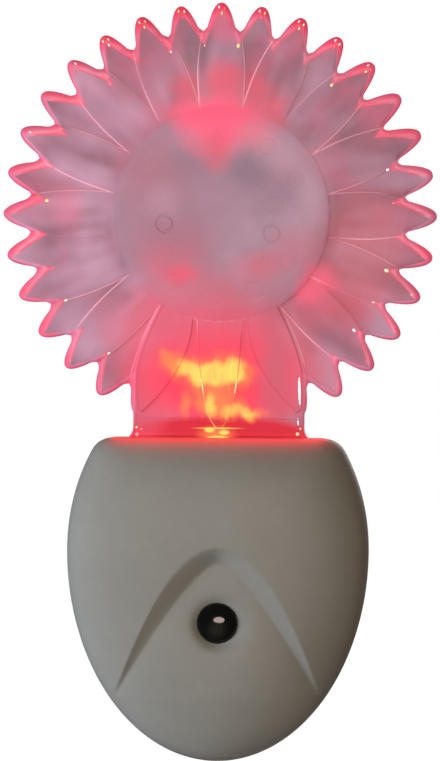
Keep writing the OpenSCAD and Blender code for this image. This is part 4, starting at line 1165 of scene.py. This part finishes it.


# patches of painted light and painted shade: across and up from the disc's middle, half width
# and half height in mm, blur, strength, colour, and how much of the colour is light of its own; the
# later ones lie on top
hot_pink, deep_red, foot_red = rgb(255, 98, 128), rgb(252, 56, 86), rgb(214, 26, 48)
rose_red, dull_rose, smoke = rgb(236, 88, 112), rgb(200, 100, 116), rgb(136, 108, 124)
dusk, haze, haze_pink = rgb(156, 110, 126), rgb(196, 152, 170), rgb(240, 132, 152)
amber, flame, milky = rgb(255, 216, 98), rgb(252, 132, 76), rgb(168, 136, 151)
lilac, blush, fresh_pink = rgb(214, 150, 178), rgb(238, 118, 146), rgb(226, 104, 134)
warm_rose, plum, foot_shade = rgb(202, 98, 110), rgb(152, 98, 110), rgb(138, 20, 34)
patches = [
    (0.0, 0.0, 18.2, 18.2, 0.04, 0.65, milky, 0.8), (4.5, 7.8, 3.2, 3.0, 0.8, 0.75, smoke, 0.8),
    (-3.5, 8.0, 4.6, 3.4, 0.8, 0.45, smoke, 0.8), (9.4, 5.6, 4.0, 3.0, 0.8, 0.35, smoke, 0.8),
    (-12.0, 5.5, 5.0, 4.6, 0.8, 0.35, dull_rose, 0.7), (-8.0, -4.8, 5.6, 3.2, 0.8, 0.55, dull_rose, 0.6),
    (-1.2, -12.4, 5.2, 3.6, 0.8, 0.55, dull_rose, 0.6), (13.4, -6.4, 4.2, 3.4, 0.8, 0.4, dull_rose, 0.6),
    (-9.0, 0.0, 8.5, 10.0, 0.7, 0.6, dusk, 0.8), (-10.0, 2.2, 2.8, 2.4, 0.9, 0.35, haze, 0.8),
    (6.2, 14.4, 3.6, 2.8, 0.8, 0.6, haze_pink, 0.6), (11.4, 11.2, 3.8, 3.8, 0.8, 0.5, haze, 0.7),
    (15.6, 2.6, 2.6, 5.6, 0.8, 0.55, haze, 0.7), (0.5, 20.6, 11.0, 3.8, 0.7, 0.45, dull_rose, 0.5),
    (-6.0, 21.8, 2.2, 2.8, 0.8, 0.6, rose_red, 0.6), (0.9, 22.6, 2.6, 3.4, 0.7, 0.75, rose_red, 0.6),
    (6.4, 21.6, 2.2, 3.0, 0.8, 0.6, rose_red, 0.6), (-0.9, 17.2, 7.4, 2.8, 0.7, 0.95, hot_pink, 0.8),
    (-0.8, 14.4, 4.8, 3.4, 0.8, 0.85, hot_pink, 0.75), (-1.0, 10.9, 2.2, 3.0, 0.9, 0.6, rose_red, 0.6),
    (9.6, 17.8, 2.0, 2.4, 0.8, 0.6, rose_red, 0.5), (-8.4, -9.6, 4.6, 3.4, 0.9, 0.4, rose_red, 0.5),
    (-6.6, -9.8, 2.2, 1.6, 0.9, 0.75, rose_red, 0.6), (6.8, -9.2, 3.2, 2.0, 0.9, 0.4, rose_red, 0.5),
    (0.2, -17.4, 13.0, 4.6, 0.8, 0.52, rose_red, 0.5), (17.0, -11.2, 2.6, 2.2, 0.9, 0.9, hot_pink, 0.7),
    (14.8, -13.4, 1.8, 1.6, 0.9, 0.7, hot_pink, 0.7), (-19.8, 15.0, 5.0, 4.0, 0.9, 0.4, lilac, 0.6),
    (-22.0, -16.5, 5.0, 4.5, 0.9, 0.4, dusk, 0.6), (20.5, -14.2, 5.6, 3.4, 0.9, 0.45, rose_red, 0.5),
    (24.5, -6.5, 7.5, 9.5, 0.7, 0.6, warm_rose, 0.55), (23.0, 10.5, 5.5, 5.5, 0.8, 0.45, plum, 0.5),
    (-26.2, 0.8, 2.2, 3.6, 0.9, 0.4, blush, 0.5), (-12.4, -18.0, 6.4, 4.6, 0.8, 0.45, rose_red, 0.55),
    (0.2, -27.0, 17.0, 10.0, 0.35, 0.85, rose_red, 0.6), (-0.6, -28.5, 11.5, 6.6, 0.6, 1.0, deep_red, 0.85),
    (9.6, -27.0, 2.8, 7.0, 0.8, 0.7, dull_rose, 0.5), (0.0, -37.4, 17.0, 2.9, 0.25, 0.95, foot_red, 0.85),
    (-12.5, -35.2, 3.0, 3.4, 0.8, 0.5, rose_red, 0.5), (-0.4, -30.8, 4.0, 3.0, 0.7, 0.75, flame, 0.9),
    (-6.4, -25.9, 3.0, 2.0, 0.7, 0.85, flame, 0.9), (-0.6, -27.2, 5.4, 3.0, 0.6, 0.9, flame, 0.9),
    (3.0, -26.6, 2.4, 2.9, 0.5, 0.9, flame, 0.9), (-5.0, -26.2, 2.2, 1.3, 0.7, 0.95, amber, 0.95),
    (-0.8, -27.2, 4.0, 1.9, 0.5, 1.0, amber, 0.95), (2.7, -26.5, 1.6, 2.2, 0.5, 1.0, amber, 0.95),
    (-9.5, -24.3, 0.6, 1.1, 0.8, 0.7, flame, 0.9), (-8.7, -25.4, 0.8, 1.0, 0.8, 0.8, flame, 0.9),
    (-7.6, -26.3, 1.1, 0.9, 0.8, 0.85, flame, 0.9), (-6.0, -32.4, 0.9, 1.7, 0.8, 0.75, flame, 0.9),
    (-1.2, -32.4, 2.6, 1.5, 0.7, 0.9, flame, 0.9), (2.2, -33.3, 2.8, 1.3, 0.7, 0.9, flame, 0.9),
    (5.6, -34.2, 2.4, 1.1, 0.7, 0.9, flame, 0.9), (-1.5, -32.6, 0.7, 1.5, 0.8, 0.9, amber, 0.95),
    (2.0, -33.4, 1.5, 0.8, 0.8, 0.7, amber, 0.95), (4.9, -34.0, 1.5, 0.7, 0.8, 0.7, amber, 0.95),
    (0.2, 33.0, 2.6, 2.8, 0.7, 0.6, fresh_pink, 0.6), (0.0, -37.8, 14.4, 0.2, 0.3, 0.6, foot_shade, 0.8),
    (-0.4, -37.6, 2.4, 1.2, 0.8, 0.9, flame, 0.9), (-1.6, -36.7, 0.8, 0.4, 0.4, 1.0, amber, 1.0),
    (0.9, -37.1, 0.8, 0.4, 0.4, 1.0, amber, 1.0), (-0.2, -36.4, 3.4, 0.12, 0.6, 0.8, amber, 1.0),
    (-0.2, -38.0, 1.6, 0.3, 0.4, 1.0, amber, 1.0),
]
foot_line, broad_patch = -36, 15  # in mm, as the patches are


def lay_patches(place, flow, colour, light):
    """Lays the patches over the panel's colour and light. Most are ragged, the flames and embers in
    the stem are torn into upright threads, and the broad ones and those at the foot stay whole."""
    tree = place.id_data
    sway = scaled(vector("SUBTRACT", flow.node.outputs["Color"], (0.5, 0.5, 0.5)), 4.5 * mm)
    ragged = vector("ADD", place, sway)
    threads = noise(vector("MULTIPLY", place, (1, 1, 0.3)), 480.0, 3.0)
    pull = maths("MULTIPLY_ADD", threads, 2.4 * mm, -1.2 * mm)
    torn = vector("ADD", ragged, on_axis("Z", pull))
    flare = spread(threads, 0.3, 0.6, 0.6, 1.0)
    patch_tree = glow_patch()
    for x, z, half_w, half_h, blur, strength, tint, own in patches:
        fiery = tint in (amber, flame) and z > foot_line
        whole = z < foot_line or half_w > broad_patch
        mask = use(patch_tree, tree, {
            "Place": torn if fiery else place if whole else ragged,
            "Centre": (x * mm, 0, middle_z + z * mm),
            "Stretch": (1 / (half_w * mm), 0, 1 / (half_h * mm)), "Blur": blur,
            "Strength": times(flare, strength) if fiery else strength})["Mask"]
        colour = mix(mask, colour, tint)
        light = between(mask, light, own)
    return colour, light


def colour_ramp(share, stops):
    """A ramp through colours, 0 to 255, at given places."""
    ramp = add(share.id_data, "ShaderNodeValToRGB", {0: share})
    elements = ramp.color_ramp.elements
    elements[0].position, elements[0].color = stops[0][0], rgb(*stops[0][1])
    elements[1].position, elements[1].color = stops[-1][0], rgb(*stops[-1][1])
    for at, tint in stops[1:-1]:
        elements.new(at).color = rgb(*tint)
    return ramp.outputs["Color"]


def rim_light(tree):
    """The measure that the panel's mesh carries: how lit an edge is, or how hot a bead."""
    settings = {"attribute_type": "GEOMETRY", "attribute_name": "rim_light"}
    return add(tree, "ShaderNodeAttribute", **settings).outputs["Fac"]


def rim_bands(place, rim):
    """The colours across a glowing rim: broad bright bands on the flanks that face up, plain ones on
    those that face down, and redder stretches."""
    thin = [(0.0, (206, 138, 164)), (0.45, (216, 132, 158)), (0.7, (226, 106, 140)),
            (1.0, (206, 88, 124))]
    thick = [(0.0, (222, 104, 138)), (0.1, (240, 78, 112)), (0.36, (246, 138, 160)),
             (0.6, (242, 106, 134)), (0.85, (232, 84, 116)), (1.0, (206, 84, 118))]
    plain, bright = [colour_ramp(rim["Share"], stops) for stops in (thin, thick)]
    band = mix(spread(rim["Lean"], -0.5, 0.6), plain, bright)
    return mix(spread(noise(place, 95.0, 1.0), 0.42, 0.62, 0.0, 0.6), band, rgb(250, 86, 116))


def edge_lines(place, rim, beside_stem):
    """The colour of the fine line along every edge: rose at the petals' outline, pink inside it, and
    yellow on the middle sepal near the lamp."""
    outermost = times(spread(rim["Reach"], 30.5 * mm, 32 * mm), beside_stem)
    line = mix(outermost, rgb(250, 176, 190), rgb(204, 84, 118))
    at = parts(place)
    inside = spread(maths("ABSOLUTE", at["X"]), 4.5 * mm, 5.5 * mm, 1.0, 0.0)
    for top, bottom, tint in ((17, 21, rgb(222, 84, 96)), (27, 30, rgb(255, 208, 140))):
        low = spread(at["Z"], middle_z - top * mm, middle_z - bottom * mm)
        line = mix(times(low, inside), line, tint)
    return line


def clear_acrylic():
    """The panel's acrylic with the lamp's light painted into it as glow: clouds with a painted side shade,
    patches, rims, caps and edges.
    """
    material, tree = new_material("lit_acrylic")
    place = object_place(tree)
    flow = noise(place, 170.0, 4.0, 0.6)
    clouds = use(acrylic_clouds_and_side_shade(), tree, {
        "Light": rgb(197, 147, 170), "Dark": rgb(150, 103, 119), "Rose": rgb(206, 104, 128),
        "Cloud Scale": 95.0, "Middle": (0, 0, middle_z)})
    colour, light = lay_patches(place, flow, clouds["Colour"], 0.5)

    rim = use(lit_rim(), tree, {"Middle": (0, 0, middle_z)})
    beside_stem = spread(rim["Up"], -0.93, -0.9)
    on_petals = times(spread(rim["Reach"], 27 * mm, 29.5 * mm), beside_stem)
    in_rim = times(spread(rim["Share"], 0.0, 0.14), spread(flow, 0.35, 0.65, 0.65, 1.0))
    in_rim = times(in_rim, on_petals)
    colour = mix(in_rim, colour, rim_bands(place, rim))
    light = between(in_rim, light, 0.6)

    # painted light: the tips at the top end in red caps of the lamp's glow
    at_top = spread(rim["Up"], 0.55, 0.95, 0.0, 0.85)
    red_tip_glow = times(spread(rim["Reach"], 33.6 * mm, 35.2 * mm), at_top)
    colour = mix(red_tip_glow, colour, rgb(240, 58, 92))

    # a lit edge is a bright line that comes and goes, and an unlit one a plain dark line
    edge = rim_light(tree)
    faint = spread(noise(place, 75.0, 1.0), 0.4, 0.6, 0.15, 1.0)
    bright = maths("MULTIPLY", edge, faint, clamp=True)
    dark = maths("MULTIPLY", edge, -1.0, clamp=True)
    colour = mix(bright, colour, edge_lines(place, rim, beside_stem))
    colour = mix(dark, colour, rgb(186, 66, 88))

    # what shines by itself is taken from what the lamps can light
    kept = maths("MULTIPLY_ADD", light, -0.85, 1.0)
    return coat(material, {
        "Base Color": scaled(colour, kept), "Roughness": spread(in_rim, 0.0, 1.0, 0.34, 0.12),
        "Normal": bump(clouds["Height"], 0.12, 0.6 * mm), "Specular IOR Level": 0.06,
        "Emission Color": scaled(colour, light), "Emission Strength": 1.0})


def glint_acrylic():
    """The beads' glowing acrylic that paints the glints, from pink through amber to white by their heat, a
    little uneven.
    """
    material, tree = new_material("glint_acrylic")
    heats = [(0.0, (255, 96, 118)), (0.5, (255, 206, 130)), (1.0, (255, 240, 240))]
    dim = spread(noise(object_place(tree), 1400.0, 1.0), 0.35, 0.65, 0.75, 1.0)
    tint = scaled(colour_ramp(rim_light(tree), heats), dim)
    return coat(material, {"Base Color": tint, "Roughness": 0.08, "Emission Color": tint,
                           "Emission Strength": 0.7})


mesh = bpy.data.meshes.new("flower_panel")
mesh.from_pydata(panel.points, [], panel.faces)
mesh.attributes.new("rim_light", "FLOAT", "POINT").data.foreach_set("value", panel.rim)
mesh.polygons.foreach_set("material_index", panel.material)
flower = finish_piece("flower_panel", mesh, [clear_acrylic(), glint_acrylic()], "light",
                      sharp=40)
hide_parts("flower_shade")

# ---- Housing screws ----
# Three self-tapping steel screws with their heads on the floors of the rear cover's wells. They cut
# their threads in the front cover's posts and draw the two covers shut.
dress(screw_steel, "housing_screws")
